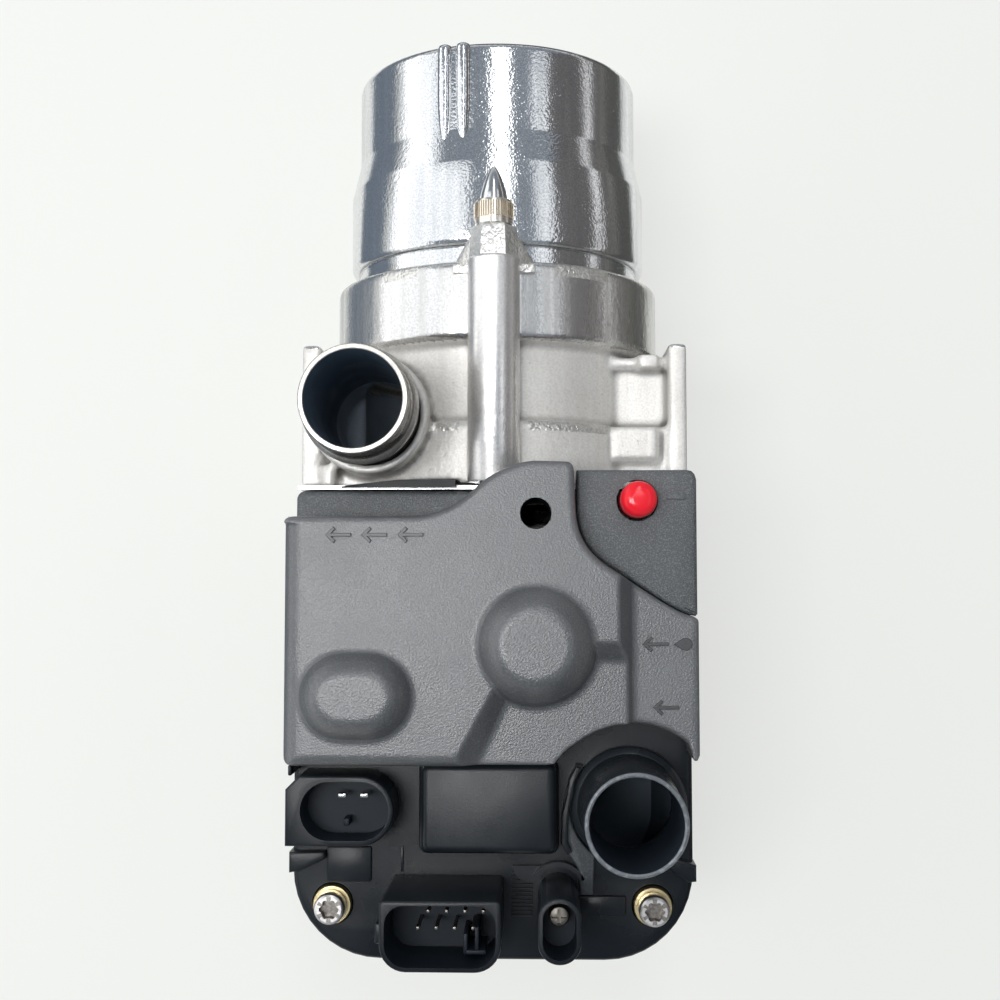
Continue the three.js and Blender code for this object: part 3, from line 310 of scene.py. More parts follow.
swing = times(cast_skin, sums(cast_skin, "SUBTRACT", mark, 0.5), skin["Spread"])
cast_skin.links.new(sums(cast_skin, "ADD", skin["Gloss"], swing), made["Roughness"])
relief = sums(cast_skin, "ADD", dimple, times(cast_skin, grain, 0.35))
relief = sums(cast_skin, "SUBTRACT", relief, times(cast_skin, pit, 0.5))
cast_skin.links.new(relief, made["Height"])

# Wear and painted shade: corners and edges that hands and neighbours have rubbed bright, and painted shade
# that darkens the creases.
wear_and_crease_shade, rubbed, result = effect(
    "wear_and_crease_shade", {"Amount": 0.5, "Start": 0.53, "End": 0.6}, {"Mask": "Float", "Painted Crease Shade": "Float"})
bend = put(wear_and_crease_shade, "NewGeometry").outputs["Pointiness"]
here = put(wear_and_crease_shade, "TexCoord").outputs["Object"]
patchy = noise(wear_and_crease_shade, here, 300.0, 4.0)
edge = spread(wear_and_crease_shade, bend, rubbed["Start"], rubbed["End"])
edge = times(wear_and_crease_shade, edge, spread(wear_and_crease_shade, patchy, 0.35, 0.6, 0.3, 1.0))
wear_and_crease_shade.links.new(times(wear_and_crease_shade, edge, rubbed["Amount"]), result["Mask"])
wear_and_crease_shade.links.new(spread(wear_and_crease_shade, bend, 0.494, 0.455), result["Painted Crease Shade"])


def skinned(name, pattern, values, wear, rubbed_to, depth, constants, crease_shade=0.0, crease_shade_colour=(0, 0, 0)):
    """A material with a surface pattern, rubbed edges and painted shade in its creases."""
    finish, tree, shader = new_material(name)
    face = put(tree, "Group", values, node_tree=pattern).outputs
    worn = put(tree, "Group", wear, node_tree=wear_and_crease_shade).outputs
    shown = tinted(tree, worn["Mask"], face["Colour"], (*rubbed_to, 1))
    if crease_shade:
        shown = tinted(tree, times(tree, worn["Painted Crease Shade"], crease_shade), shown, (*crease_shade_colour, 1))
    relief = put(tree, "Bump", {"Strength": 1.0, "Distance": depth * MM, "Height": face["Height"]})
    tree.links.new(shown, shader["Base Color"])
    tree.links.new(face["Roughness"], shader["Roughness"])
    tree.links.new(relief.outputs[0], shader["Normal"])
    for key, value in constants.items():
        shader[key].default_value = value
    return finish


def cast_metal(name, colour, dark, grain, dimples, streaks, gloss, swing, depth, worn=0.5, metal=1.0,
               speckle=0.2, crease_shade=0.0):
    """A cast or machined metal, with bright rubbed edges and at times painted shade in its creases."""
    values = {"Colour": (*colour, 1), "Dark": (*dark, 1), "Grain": grain, "Dimples": dimples,
              "Streaks": streaks, "Speckle": speckle, "Gloss": gloss, "Spread": swing}
    return skinned(name, cast_skin, values, {"Amount": worn}, [min(1, c * 1.15) for c in colour], depth,
                   {"Metallic": metal}, crease_shade, [c * 0.35 for c in dark])


can_mirror = cast_metal("can_mirror", (0.88, 0.885, 0.89), (0.5, 0.52, 0.54), 2300, 1150, 0.75, 0.12, 0.1,
                        0.06, speckle=0.55)
can = turned("jacket_can_skin", [
    (0, 105.3), (27, 105.3), (27.8, 105.6), (28.3, 106.18), (33.6, 106.18), (34.7, 105.95), (35.35, 105.3),
    (35.6, 104.4), (35.6, 85.5), (35.75, 84.9), (37.4, 77.7), (37.6, 77.0), (37.6, 58.9), (37.45, 58.1),
    (37.0, 57.4), (36.2, 57), (35.8, 57), (35.8, 50.3), (34.3, 50.3), (34.3, 47.3), (35.8, 47.3), (35.8, 45),
    (33.4, 45), (33.4, 77.2), (33.2, 85.3), (33.2, 103.8), (0, 103.8),
], (0, 0, AXIS_Z), "Y", 160)
can_ribs = []
for rib_x in (-11.4, -7.0):
    rib_z = AXIS_Z + math.sqrt(35.25 ** 2 - rib_x ** 2)
    can_ribs.append(turned("can_rib", [
        (0, 80.8), (0.3, 81), (0.9, 83), (1.4, 86), (1.75, 90), (1.85, 94), (1.85, 104.9),
        (1.55, 105.7), (0.9, 106.1), (0, 106.15),
    ], (rib_x, 0, rib_z), "Y", 32))
can = shaded(joined("jacket_can_skin", can, *can_ribs), 40)
fitted(can, "bright_cast", can_mirror, "jacket_can")

# Heat exchanger body: one aluminium casting with a round band, side walls for the bracket, pockets,
# the exhaust boss and two coolant ports. Its corners are soft because it comes from a mould.


def changed(piece, kind, **settings):
    """Puts one modifier on a piece and applies it."""
    pick(piece)
    change = piece.modifiers.new(kind, kind)
    for key, value in settings.items():
        setattr(change, key, value)
    bpy.ops.object.modifier_apply(modifier=kind)
    return piece


def block(name, x, y, z, rounding=0.0, steps=2):
    """A box between two corners in millimetres, with its edges rounded."""
    pick_nothing()
    middle = [(low + high) / 2 * MM for low, high in (x, y, z)]
    size = [(high - low) * MM for low, high in (x, y, z)]
    bpy.ops.mesh.primitive_cube_add(size=1, location=middle, scale=size)
    piece = bpy.context.object
    piece.name = name
    bpy.ops.object.transform_apply(location=True, rotation=True, scale=True)
    return changed(piece, "BEVEL", width=rounding * MM, segments=steps) if rounding else piece


def rod(name, x, y, radius, z, steps=64):
    return turned(name, [(0, z[0]), (radius, z[0]), (radius, z[1]), (0, z[1])], (x, y, 0), "Z", steps)


def carve(piece, cutter, kind="DIFFERENCE"):
    changed(piece, "BOOLEAN", operation=kind, object=cutter, solver="EXACT")
    bpy.data.objects.remove(cutter)


def softened(piece, cell, rounds):
    """Skins a piece over with cells of one size and eases its corners, as in a mould."""
    changed(piece, "REMESH", mode="VOXEL", voxel_size=cell * MM)
    changed(piece, "SMOOTH", factor=0.5, iterations=rounds)
    return shaded(piece, 180)


PORTS = [(-19, 43.4), (19, 43.4)]
EXHAUST = (-28.3, 17.1)
BOLT = (0.5, 0, 87)
body_round = turned("body_round", [
    (0, 1.1), (40, 1.1), (40, 15.2), (38.3, 15.2), (38.3, 33.4), (39.2, 34.2), (40.9, 35.0), (40.9, 51.4),
    (40.4, 52.3), (39.2, 52.7), (0, 52.7),
], (0, 0, AXIS_Z), "Y", 128)
body_parts = [
    body_round,
    block("shoulders", (-45.8, 45.8), (1.1, 15.2), (8, 72)),
    block("pocket_floors", (-45.8, 45.8), (1.1, 32), (20, 69.5)),
    block("webs", (-45.8, 45.8), (29.6, 32), (8, 71)),
    block("right_wall", (41.4, 45.8), (1.1, 35.2), (8, 73)),
    block("left_wall", (-45.8, -41.4), (1.1, 35.2), (8, 73)),
    block("web_pad", (34.3, 39.3), (29.2, 32.6), (64, 72.8)),
    block("ledge_pad", (28.4, 38.9), (7.3, 15.2), (66, 73.6)),
    block("left_rib", (-40.4, -37.4), (1.1, 6.2), (66, 74.6)),
    block("column_web", (-4.1, 5.1), (1.1, 51.7), (80.2, 87)),
    block("band_pad", (-9.1, 10.1), (49.2, 52.3), (79, 82.6)),
    rod("exhaust_boss", *EXHAUST, 13.9, (50, 86)),
    *[rod("port", x, y, 12.5, (0, 20)) for x, y in PORTS],
]
casting = joined("body_casting", *body_parts)
body_bore = turned("body_bore", [
    (0, -5), (38.9, -5), (38.9, 3.1), (34, 3.1), (34, 31), (31.8, 31), (31.8, 34.2), (36.2, 34.2),
    (36.2, 60), (0, 60),
], (0, 0, AXIS_Z), "Y", 128)
softened(casting, 0.6, 0)
carve(casting, body_bore)
for x, y in PORTS:
    carve(casting, rod("port_bore", x, y, 8.2, (-1, 30)))
carve(casting, rod("pipe_seat", *EXHAUST, 12.05, (64, 90)))
carve(casting, rod("gas_passage", *EXHAUST, 10.5, (48, 65)))
carve(casting, turned("bolt_bore", [(0, 0), (3.6, 0), (3.6, 70), (0, 70)], BOLT, "Y", 32))
carve(casting, block("lip_notch", (-35, -7.5), (0, 2.1), (72.5, 87)))
softened(casting, 0.72, 3)
# The casting's creases are darkened, as painted shade.
satin_casting = cast_metal("satin_casting", (0.84, 0.825, 0.79), (0.48, 0.455, 0.42), 1900, 700, 0.35,
                           0.46, 0.16, 0.16, metal=0.35, speckle=0.25, crease_shade=1.0)
smooth_band = cast_metal("smooth_band", (0.84, 0.84, 0.83), (0.46, 0.45, 0.43), 1900, 620, 0.8, 0.27, 0.16,
                         0.07, speckle=0.35)
stippled_casting = cast_metal("stippled_casting", (0.85, 0.84, 0.8), (0.4, 0.38, 0.36), 1700, 900, 0.2,
                              0.36, 0.2, 0.5, metal=0.8, speckle=0.45)


def soot_coat(name, thin, thick):
    """A dry coat of soot, lumpy and uneven."""
    coat, tree, shader = new_material(name)
    smoke = put(tree, "TexCoord").outputs["Object"]
    layer = noise(tree, smoke, 160.0, 5.0)
    bare = spread(tree, layer, 0.4, 0.75)
    tree.links.new(tinted(tree, bare, (*thick, 1), (*thin, 1)), shader["Base Color"])
    tree.links.new(spread(tree, layer, 0.3, 0.7, 0.35, 0.6), shader["Roughness"])
    lumps = put(tree, "Bump", {"Strength": 0.6, "Distance": 0.05 * MM, "Height": layer})
    tree.links.new(lumps.outputs[0], shader["Normal"])
    return coat


# The soot deep in the gas passage is painted paler and bluer than in the pipe, as painted light.
soot = soot_coat("burner_soot_and_painted_light", (0.4, 0.47, 0.56), (0.32, 0.4, 0.5))
fitted(casting, "satin_cast", satin_casting, "heat_exchanger_body")
refinished(casting, smooth_band, lambda x, y, z: 34.3 < y < 53 and math.hypot(x, z - AXIS_Z) > 38.5)
for patch_x, patch_y in (((-26, -17.5), (49.6, 53)), ((14.5, 27), (49.6, 53)),
                         ((8.6, 27.6), (13.1, 15.6)), ((-15.2, -7.4), (13.1, 15.6))):
    refinished(casting, stippled_casting, lambda x, y, z: z > 60 and patch_x[0] < x < patch_x[1]
               and patch_y[0] < y < patch_y[1])
# The gas passage under the exhaust pipe gets this soot with painted light.
refinished(casting, soot, lambda x, y, z: z < 64.4 and math.dist((x, y), EXHAUST) < 12.2)

# Bolt column: a round tube on top of the casting that holds the long through bolt, with a six-sided
# end between two clamp wings. It is the same aluminium, streaked along its length and stippled there.
column = turned("bolt_column", [
    (3.5, 1.1), (5.75, 1.1), (5.95, 1.5), (5.95, 51.6), (5.5, 52.2), (3.5, 52.2),
], BOLT, "Y", 64)
hexagon = turned("column_hexagon", [
    (3.5, 51.5), (5.6, 51.5), (5.6, 52.4), (5.35, 58.9), (4.9, 59.5), (3.5, 59.5),
], BOLT, "Y", 6)
wing_foot = [(3.6, 49.3), (9.5, 49.3), (9.5, 51.4), (3.6, 51.4)]
wing_slope = [(3.6, 51.2), (8.9, 51.2), (8.9, 52.8), (5.6, 57.6), (4.4, 58.3), (3.6, 58.3)]
wing_low, wing_fall = 81.6, 1.05


def filled(name, corners):
    """A flat face between corners in millimetres, left selected and open to work on."""
    piece = trace(name, [*corners, corners[0]])
    all_of_it()
    bpy.ops.mesh.remove_doubles(threshold=0.01 * MM)
    bpy.ops.mesh.edge_face_add()
    return piece


def pulled(x, y, z):
    bpy.ops.mesh.extrude_region_move(TRANSFORM_OT_translate={"value": (x * MM, y * MM, z * MM)})


wings = []
for side in (-1, 1):
    for edge, top in ((wing_foot, 85.4), (wing_slope, 88.3)):
        fold = filled("clamp_wing", [(BOLT[0] + side * x, y, wing_low) for x, y in edge])
        pulled(0, 0, top - wing_low)
        close_up()
        for corner in fold.data.vertices if edge is wing_slope else ():
            if corner.co.z > (wing_low + 0.4) * MM:
                corner.co.z -= (abs(corner.co.x / MM - BOLT[0]) - edge[0][0]) * wing_fall * MM
        wings.append(changed(fold, "BEVEL", width=0.3 * MM, segments=2))
column = shaded(joined("bolt_column", column, hexagon, *wings), 35)
streaked_metal = cast_metal("streaked_column", (0.92, 0.905, 0.885), (0.55, 0.53, 0.51), 1700, 560, 0.85,
                            0.34, 0.25, 0.08, metal=0.85, speckle=0.35)
fitted(column, "satin_cast", streaked_metal)
refinished(column, stippled_casting, lambda x, y, z: y > 52.25 or abs(x - BOLT[0]) > 6.1)

# Knurled insert: a turned brass sleeve pressed into the end of the column, around the bolt. Its knurls
# are straight teeth, bright brass on top, with the grooves darkened as painted shade.
insert = turned("brass_insert", [
    (3.4, 59.7), (4.3, 59.7), (4.35, 61.2), (4.35, 64.7), (4.1, 65.3), (3.4, 65.3),
], BOLT, "Y", 96)


def no_faces_picked(piece):
    """Sets a piece to work by faces and leaves none of them selected."""
    pick(piece)
    switch("EDIT")
    bpy.ops.mesh.select_mode(type="FACE")
    bpy.ops.mesh.select_all(action="DESELECT")
    switch("OBJECT")


no_faces_picked(insert)
outer = []
for face in insert.data.polygons:
    across, up = face.center.x / MM - BOLT[0], face.center.z / MM - BOLT[2]
    if math.hypot(across, up) > 4.3 and face.center.y > 61.2 * MM and abs(face.normal.y) < 0.2:
        outer.append((math.atan2(up, across), face.index))
for count, (turn, index) in enumerate(sorted(outer)):
    insert.data.polygons[index].select = count % 2 == 0
switch("EDIT")
bpy.ops.mesh.inset(thickness=0.03 * MM, use_individual=True)
bpy.ops.mesh.extrude_region_shrink_fatten(TRANSFORM_OT_shrink_fatten={"value": 0.24 * MM})
switch("OBJECT")
knurled_brass = cast_metal("knurled_brass", (0.88, 0.83, 0.75), (0.58, 0.51, 0.41), 2200, 900, 0.4,
                           0.26, 0.1, 0.01, 0.9)
fitted(shaded(insert, 30), "brass", knurled_brass, "knurled_insert")
groove_painted_shade = cast_metal("groove_painted_shade", (0.5, 0.43, 0.33), (0.26, 0.21, 0.15), 2200, 900, 0.4, 0.45, 0.1,
                          0.01)
refinished(insert, groove_painted_shade, lambda x, y, z: 61.2 < y < 64.7
           and math.hypot(x - BOLT[0], z - BOLT[2]) < 4.45)

# Through bolt: a long turned steel bolt that clamps the casting, burner and housing together. Its
# pointed end stands out of the insert, and its round head is under the cover.
bolt = turned("through_bolt_tip", [
    (0, 73.6), (0.35, 73.5), (0.75, 73.05), (1.6, 71.4), (2.3, 69.6), (2.8, 67.9), (3.05, 66.8),
    (3.15, 65.6), (3.15, -6.6), (4.3, -6.6), (4.5, -7.0), (4.5, -11.0), (4.2, -11.4), (0, -11.4),
], BOLT, "Y", 64)
bolt_steel = cast_metal("bolt_steel", (0.82, 0.83, 0.84), (0.4, 0.4, 0.4), 2400, 900, 0.5, 0.16, 0.1, 0.006)
fitted(shaded(bolt, 30), "steel", bolt_steel, "through_bolt")

# Exhaust pipe: a short metal pipe pressed into its boss, with a rolled bead that keeps the hose on.
# The outside is satin metal with small nicks; its rim and the top of its bead are painted paler as a painted
# highlight, and the bore has a dark coat of soot, tinted blue as painted light.
pipe_metal = cast_metal("pipe_metal", (0.4, 0.385, 0.365), (0.18, 0.165, 0.15), 1500, 380, 0.3, 0.27, 0.16,
                        0.04, speckle=0.35)
exhaust = turned("exhaust_pipe_tube", [
    (10.5, 64.3), (11.7, 64.3), (11.7, 96.3), (12.1, 97.0), (12.7, 97.8), (12.98, 98.6), (12.98, 99.3),
    (12.7, 100.1), (12.1, 100.8), (11.6, 101.4), (11.5, 102.2), (11.5, 108.2), (11.65, 109.0),
    (11.65, 109.75), (11.45, 110), (10.65, 110), (10.5, 109.85),
], (*EXHAUST, 0), "Z", 128)
fitted(shaded(exhaust, 40), "satin_cast", pipe_metal, "exhaust_pipe")
# Soot in the bore, tinted blue as painted light.
pipe_soot_and_painted_light = soot_coat("pipe_soot_and_painted_light", (0.12, 0.165, 0.225), (0.085, 0.125, 0.175))
# Painted highlight: a paler metal on the rim and on the top of the bead.
lip_painted_highlight = cast_metal("lip_painted_highlight", (0.56, 0.545, 0.515), (0.3, 0.285, 0.26), 1500, 380, 0.3, 0.36, 0.16,
                       0.04, metal=0.8, speckle=0.5)
refinished(exhaust, lip_painted_highlight, lambda x, y, z: z > 108.9 or 99.4 < z < 100.6)
refinished(exhaust, pipe_soot_and_painted_light, lambda x, y, z: math.dist((x, y), EXHAUST) < 10.54)

# Blower housing: a deep tub moulded in black plastic, closed above by a plate that carries the sockets.
# The tub's corners are round below and nearly square where it meets the metal body.


def round_corners(x, y, radii, steps=10):
    """Corners of a rectangle, anticlockwise from the lower right, each with its own radius."""
    ends = [(x[1], y[0], 1, -1), (x[1], y[1], 1, 1), (x[0], y[1], -1, 1), (x[0], y[0], -1, -1)]
    places = []
    for (cx, cy, to_x, to_y), start, radius in zip(ends, (-90, 0, 90, 180), radii):
        for step in range(steps + 1):
            turn = math.radians(start + 90 * step / steps)
            places.append((cx - to_x * radius + radius * math.cos(turn),
                           cy - to_y * radius + radius * math.sin(turn)))
    return places


def plate(name, outline, z, rounding=0.0, steps=4):
    """An outline in X and Y pulled up to a height, with its upper edge rounded by small insets."""
    piece = filled(name, [(x, y, z[0]) for x, y in outline])
    pulled(0, 0, z[1] - rounding - z[0])
    for step in range(steps if rounding else 0):
        before = math.radians(90 * step / steps)
        after = math.radians(90 * (step + 1) / steps)
        inward = rounding * (math.cos(before) - math.cos(after))
        up = rounding * (math.sin(after) - math.sin(before))
        bpy.ops.mesh.inset(thickness=inward * MM)
        bpy.ops.transform.translate(value=(0, 0, up * MM))
    close_up()
    return piece


AIR = (30.7, -71.3)
FUEL = (32.4, -3.4)
SCREW_ACCESS = (10, -6.6)
CORNERS = [(-36, -93.8), (36, -93.8)]
STRIP_Y = -9.3
tub = plate("housing_tub", round_corners((-45.2, 45.2), (-106.2, -0.4), (20, 2, 2, 20)), (0, 82), 1.3)
tub_inside = round_corners((-42.7, 42.7), (-103.7, -2.4), (17.5, 1, 1, 17.5))
carve(tub, plate("tub_hollow", tub_inside, (2.5, 79.5)))
board_opening = block("board_opening", (-42, 42), (-58.5, -9.5), (70, 90))
carve(board_opening, rod("air_shelf", *AIR, 22, (60, 100), 96))
carve(tub, board_opening)
carve(tub, rod("screw_hole", *SCREW_ACCESS, 3.6, (70, 90), 48))
carve(tub, turned("burner_opening", [(0, -4), (24, -4), (24, 2), (0, 2)], (0, 0, AXIS_Z), "Y", 64))
carve(tub, rod("air_opening", *AIR, 9.8, (70, 90)))
carve(tub, rod("fuel_opening", *FUEL, 2.5, (55, 90), 32))
for corner in CORNERS:
    carve(tub, rod("sleeve_seat", *corner, 4.7, (59.7, 90), 48))
for panel_x in (-19.2, -9.6, 0, 9.6, 19.2):
    carve(tub, block("wall_panel", (panel_x - 4, panel_x + 4), (-108, -105.5), (12, 68), 0.3))

plastic_grain, given, out = effect(
    "plastic_grain",
    {"Colour": (0.1, 0.1, 0.1, 1), "Pale": (0.2, 0.2, 0.2, 1), "Grain": 2500.0, "Gloss": 0.45,
     "Smudge": 0.1, "Speckle": 0.0},
    {"Colour": "Color", "Roughness": "Float", "Height": "Float"})
where = put(plastic_grain, "TexCoord").outputs["Object"]
bumps = noise(plastic_grain, where, given["Grain"], 2.0)
cells = put(plastic_grain, "TexVoronoi", {"Vector": where, "Scale": given["Grain"]}).outputs["Distance"]
hand = noise(plastic_grain, where, 55.0, 4.0)
smear = spread(plastic_grain, hand, 0.35, 0.7)
light_spots = spread(plastic_grain, bumps, 0.5, 0.66)
paler = sums(plastic_grain, "ADD", times(plastic_grain, smear, 0.18),
             times(plastic_grain, light_spots, given["Speckle"]))
plastic_grain.links.new(tinted(plastic_grain, paler, given["Colour"], given["Pale"]), out["Colour"])
greasy = times(plastic_grain, sums(plastic_grain, "SUBTRACT", smear, 0.5), given["Smudge"])
plastic_grain.links.new(sums(plastic_grain, "ADD", given["Gloss"], greasy), out["Roughness"])
rough = sums(plastic_grain, "ADD", bumps, times(plastic_grain, cells, 0.4))
plastic_grain.links.new(rough, out["Height"])


def moulded(name, colour, pale, grain, gloss, smudge, depth, speckle=0.0, worn=0.5, shine=0.5, edge=0.53):
    """A moulded plastic with grain, faint smears and pale rubbed edges."""
    values = {"Colour": (*colour, 1), "Pale": (*pale, 1), "Grain": grain, "Gloss": gloss,
              "Smudge": smudge, "Speckle": speckle}
    wear = {"Amount": worn, "Start": edge, "End": edge + 0.07}
    return skinned(name, plastic_grain, values, wear, pale, depth, {"Specular IOR Level": shine})


black_plastic = moulded("black_plastic", (0.008, 0.0105, 0.0135), (0.05, 0.056, 0.063), 2600, 0.32, 0.14,
                        0.015, worn=0.15, shine=0.25)

# What stands on the housing's plate: the block over the wiring, a low pad, clips, a curved wall and
# an arc that guide plugs, and thin raised lines. All are moulded in one with the tub.


def curved_wall(name, centre, radius, thick, start, end, z, steps=18):
    """An upright wall along an arc, between two angles in degrees."""
    turns = [math.radians(start + (end - start) * step / steps) for step in range(steps + 1)]
    rim = [(centre[0] + radius * math.cos(t), centre[1] + radius * math.sin(t)) for t in turns]
    inner = [(centre[0] + (radius - thick) * math.cos(t), centre[1] + (radius - thick) * math.sin(t))
             for t in reversed(turns)]
    return plate(name, rim + inner, z)


web_edge = [(22.6, -91.0), (19.8, -91.0), (19.4, -85.4), (17.2, -82.2), (15.4, -79.8), (15.6, -74.0),
            (16.6, -68.2), (18.8, -62.2)]
foot_edge = [(AIR[0] + 13.4 * math.cos(math.radians(turn)), AIR[1] + 13.4 * math.sin(math.radians(turn)))
             for turn in range(139, 236, 8)]
plate_parts = [
    plate("wiring_block", round_corners((-15.2, 14.2), (-80.6, -61.3), (2,) * 4, 5), (81, 92), 1.4),
    plate("block_skirt", round_corners((-16.4, 15.0), (-82.2, -61.3), (2,) * 4, 5), (81, 84.5), 1.0),
    block("low_pad", (-37.3, -27.2), (-88.8, -81), (81, 83), 0.4),
    plate("air_web", [*web_edge, *foot_edge], (81, 84.6), 0.5, 3),
    plate("web_ridge", [(18.9, -62.4), (17.3, -65.4), (16.9, -68.4), (15.9, -72.4), (15.5, -79.4),
                        (16.9, -81.8), (17.8, -81.2), (16.9, -79.0), (17.2, -72.4), (18.2, -68.4),
                        (18.6, -65.6), (20, -62.8)], (81, 87), 0.3, 2),
    curved_wall("aux_arc", (14.8, -90.4), 6.6, 1.0, 25, 150, (81, 84.6)),
    curved_wall("half_disc", (8.3, -84.9), 3.6, 3.55, 180, 360, (81, 83.4)),
    block("raised_bar", (19.4, 30), (-96, -91.6), (81, 83), 0.4),
    block("step_line", (18.9, 19.6), (-91.6, -84.4), (81, 83), 0.2),
    block("plate_seam", (-20.6, -20.0), (-86.6, -81), (81, 82.5), 0.15),
    plate("left_clip", [(-45.6, -86.6), (-43.2, -86.2), (-37.4, -83.4), (-37.6, -81.8), (-45.6, -82.0)],
          (76, 84.6), 0.5, 3),
    plate("right_clip", [(43.8, -88.2), (45.6, -88.0), (45.6, -84.4), (41.4, -83.0), (39.0, -83.6),
                         (39.8, -85.4)], (76, 84.6), 0.5, 3),
]
for line in range(12):
    low = -96.4 + line * 0.86
    plate_parts.append(block("patch_rib", (4.4, 9.2), (low, low + 0.5), (81.6, 82.55), 0.12, 1))
for side_x in (-45.5, 45.5):
    for rib_y in (-76, -60, -44, -28, -12):
        plate_parts.append(block("side_rib", (side_x - 0.3, side_x + 0.3), (rib_y - 0.8, rib_y + 0.8),
                                 (3, 70), 0.25))
housing = shaded(joined("blower_housing_shell", tub, *plate_parts), 35)
switch("EDIT")
all_of_it()
bpy.ops.mesh.bisect(plane_co=(0, STRIP_Y * MM, 0), plane_no=(0, 1, 0))
switch("OBJECT")
# Painted shade: a near black for the socket wells and the screw hole, where shade falls.
painted_recess_shade = moulded("painted_recess_shade", (0.01, 0.015, 0.022), (0.02, 0.025, 0.031), 1200, 0.5, 0.1, 0.01,
                     worn=0.1, shine=0.2)
# Painted light: the tub's hollow is painted a paler blue-grey, standing in for light seen in it through the
# air pipe.
hollow_painted_light = moulded("hollow_painted_light", (0.17, 0.22, 0.28), (0.2, 0.25, 0.31), 1200, 0.5, 0.1, 0.01,
                      worn=0.1, shine=0.3)
fitted(housing, "housing_plastic", black_plastic, "blower_housing")
# The hollow inside the tub gets this painted light.
refinished(housing, hollow_painted_light, lambda x, y, z: abs(x) < 42.8 and -103.8 < y < -2.3 and 2.4 < z < 79.6
           and math.hypot(max(abs(x) - 25.2, 0), min(y + 86.2, 0)) < 18.2)
# The top of the air web is painted paler, as painted sheen over its grain.
web_grain_and_painted_sheen = moulded("web_grain_and_painted_sheen", (0.045, 0.05, 0.056), (0.15, 0.16, 0.17), 2200, 0.42, 0.14, 0.04,
                      0.35, worn=0.2, shine=0.4)
refinished(housing, web_grain_and_painted_sheen, lambda x, y, z: z > 83.9 and 15.2 < x < 30.7 and -92 < y < -62 and z < 86)

# Control unit cover: a dark grey lid moulded in thick soft forms. It bulges up over the blower motor
# and over the capacitors, steps down to the right and to the lower side, and laps over the tub.


def curve(points, steps=8):
    """Points along a cubic curve through a start, two pulls and an end."""
    a, b, c, d = [Vector(p) for p in points]
    places = []
    for step in range(steps + 1):
        t = step / steps
        u = 1 - t
        places.append(tuple(a * u ** 3 + b * 3 * t * u * u + c * 3 * t * t * u + d * t ** 3))
    return places


cover_seam = curve([(44.6, -28.9), (40.5, -28.2), (34.8, -23.6), (28.6, -19.9)]) \
    + curve([(28.6, -19.9), (22.5, -16.4), (18.9, -13), (18.6, -5.7)])[1:]
cover_tongue = [*cover_seam, (18.3, 3.0), (17.9, 4.2), (17, 4.7),
                *curve([(9.6, 4.9), (5.6, 4.6), (1.4, 2.8), (-1.9, 0.1)]),
                *curve([(-1.9, 0.1), (-5.6, -3.4), (-9.6, -7), (-17, -7.1)])[1:]]
around_air = [(AIR[0] + 19.3 * math.cos(turn), AIR[1] + 19.3 * math.sin(turn))
              for turn in (math.radians(126 - 76 * step / 16) for step in range(17))]
cover_outline = [(-42.6, -60.9), (12.6, -60.9), (14.0, -60.5), (15.0, -59.4), (15.9, -58.1), *around_air,
                 (44.4, -60.5), (45.0, -60.3), (45.6, -59), (45.6, -29.6), *cover_tongue,
                 (-43.2, -7.1), (-44.4, -7.6), (-44.8, -8.6), (-44.8, -58.9), (-44.3, -60.3)]


def sloped(name, low_outline, high_outline, z):
    """A closed form between a low outline and a high one with as many corners."""
    rims = []
    for outline, height in ((low_outline, z[0]), (high_outline, z[1])):
        rims.append(trace(name, [(x, y, height) for x, y in [*outline, outline[0]]]))
        all_of_it()
        bpy.ops.mesh.remove_doubles(threshold=0.01 * MM)
        switch("OBJECT")
    form = joined(name, *rims)
    switch("EDIT")
    all_of_it()
    bpy.ops.mesh.bridge_edge_loops()
    all_of_it()
    bpy.ops.mesh.fill_holes(sides=0)
    close_up()
    return form


def mound(name, outline, centre, rings):
    """Pulls an outline up ring by ring; each ring has a height and its sizes along X and Y."""
    piece = filled(name, [(x, y, rings[0][0]) for x, y in outline])
    for (low, old_x, old_y), (high, new_x, new_y) in zip(rings, rings[1:]):
        pulled(0, 0, high - low)
        bpy.ops.transform.resize(value=(new_x / old_x, new_y / old_y, 1),
                                 center_override=(centre[0] * MM, centre[1] * MM, high * MM))
    close_up()
    return piece


def cove(across, z, radius, start, end, along):
    """What a rounding takes off a long straight edge whose outer side faces left or down."""
    arc = [(across + radius - radius * math.cos(turn), z - radius + radius * math.sin(turn))
           for turn in (math.radians(10 * step) for step in range(10))]
    section = [(across - 2, z - radius), *arc, (across + radius, z + 2), (across - 2, z + 2)]
    if along == "Y":
        form = filled("cove", [(a, start, height) for a, height in section])
        pulled(0, end - start, 0)
    else:
        form = filled("cove", [(start, a, height) for a, height in section])
        pulled(end - start, 0, 0)
    close_up()
    return form


def side_step(high_x, high_z):
    """What the step to the right takes off the lid, with a side that leans in towards its top."""
    low, high = [[(x, -90), (70, -90), (70, 20), (x, 20)] for x in (31.2, high_x)]
    return sloped("side_step", low, high, (93.4, high_z))


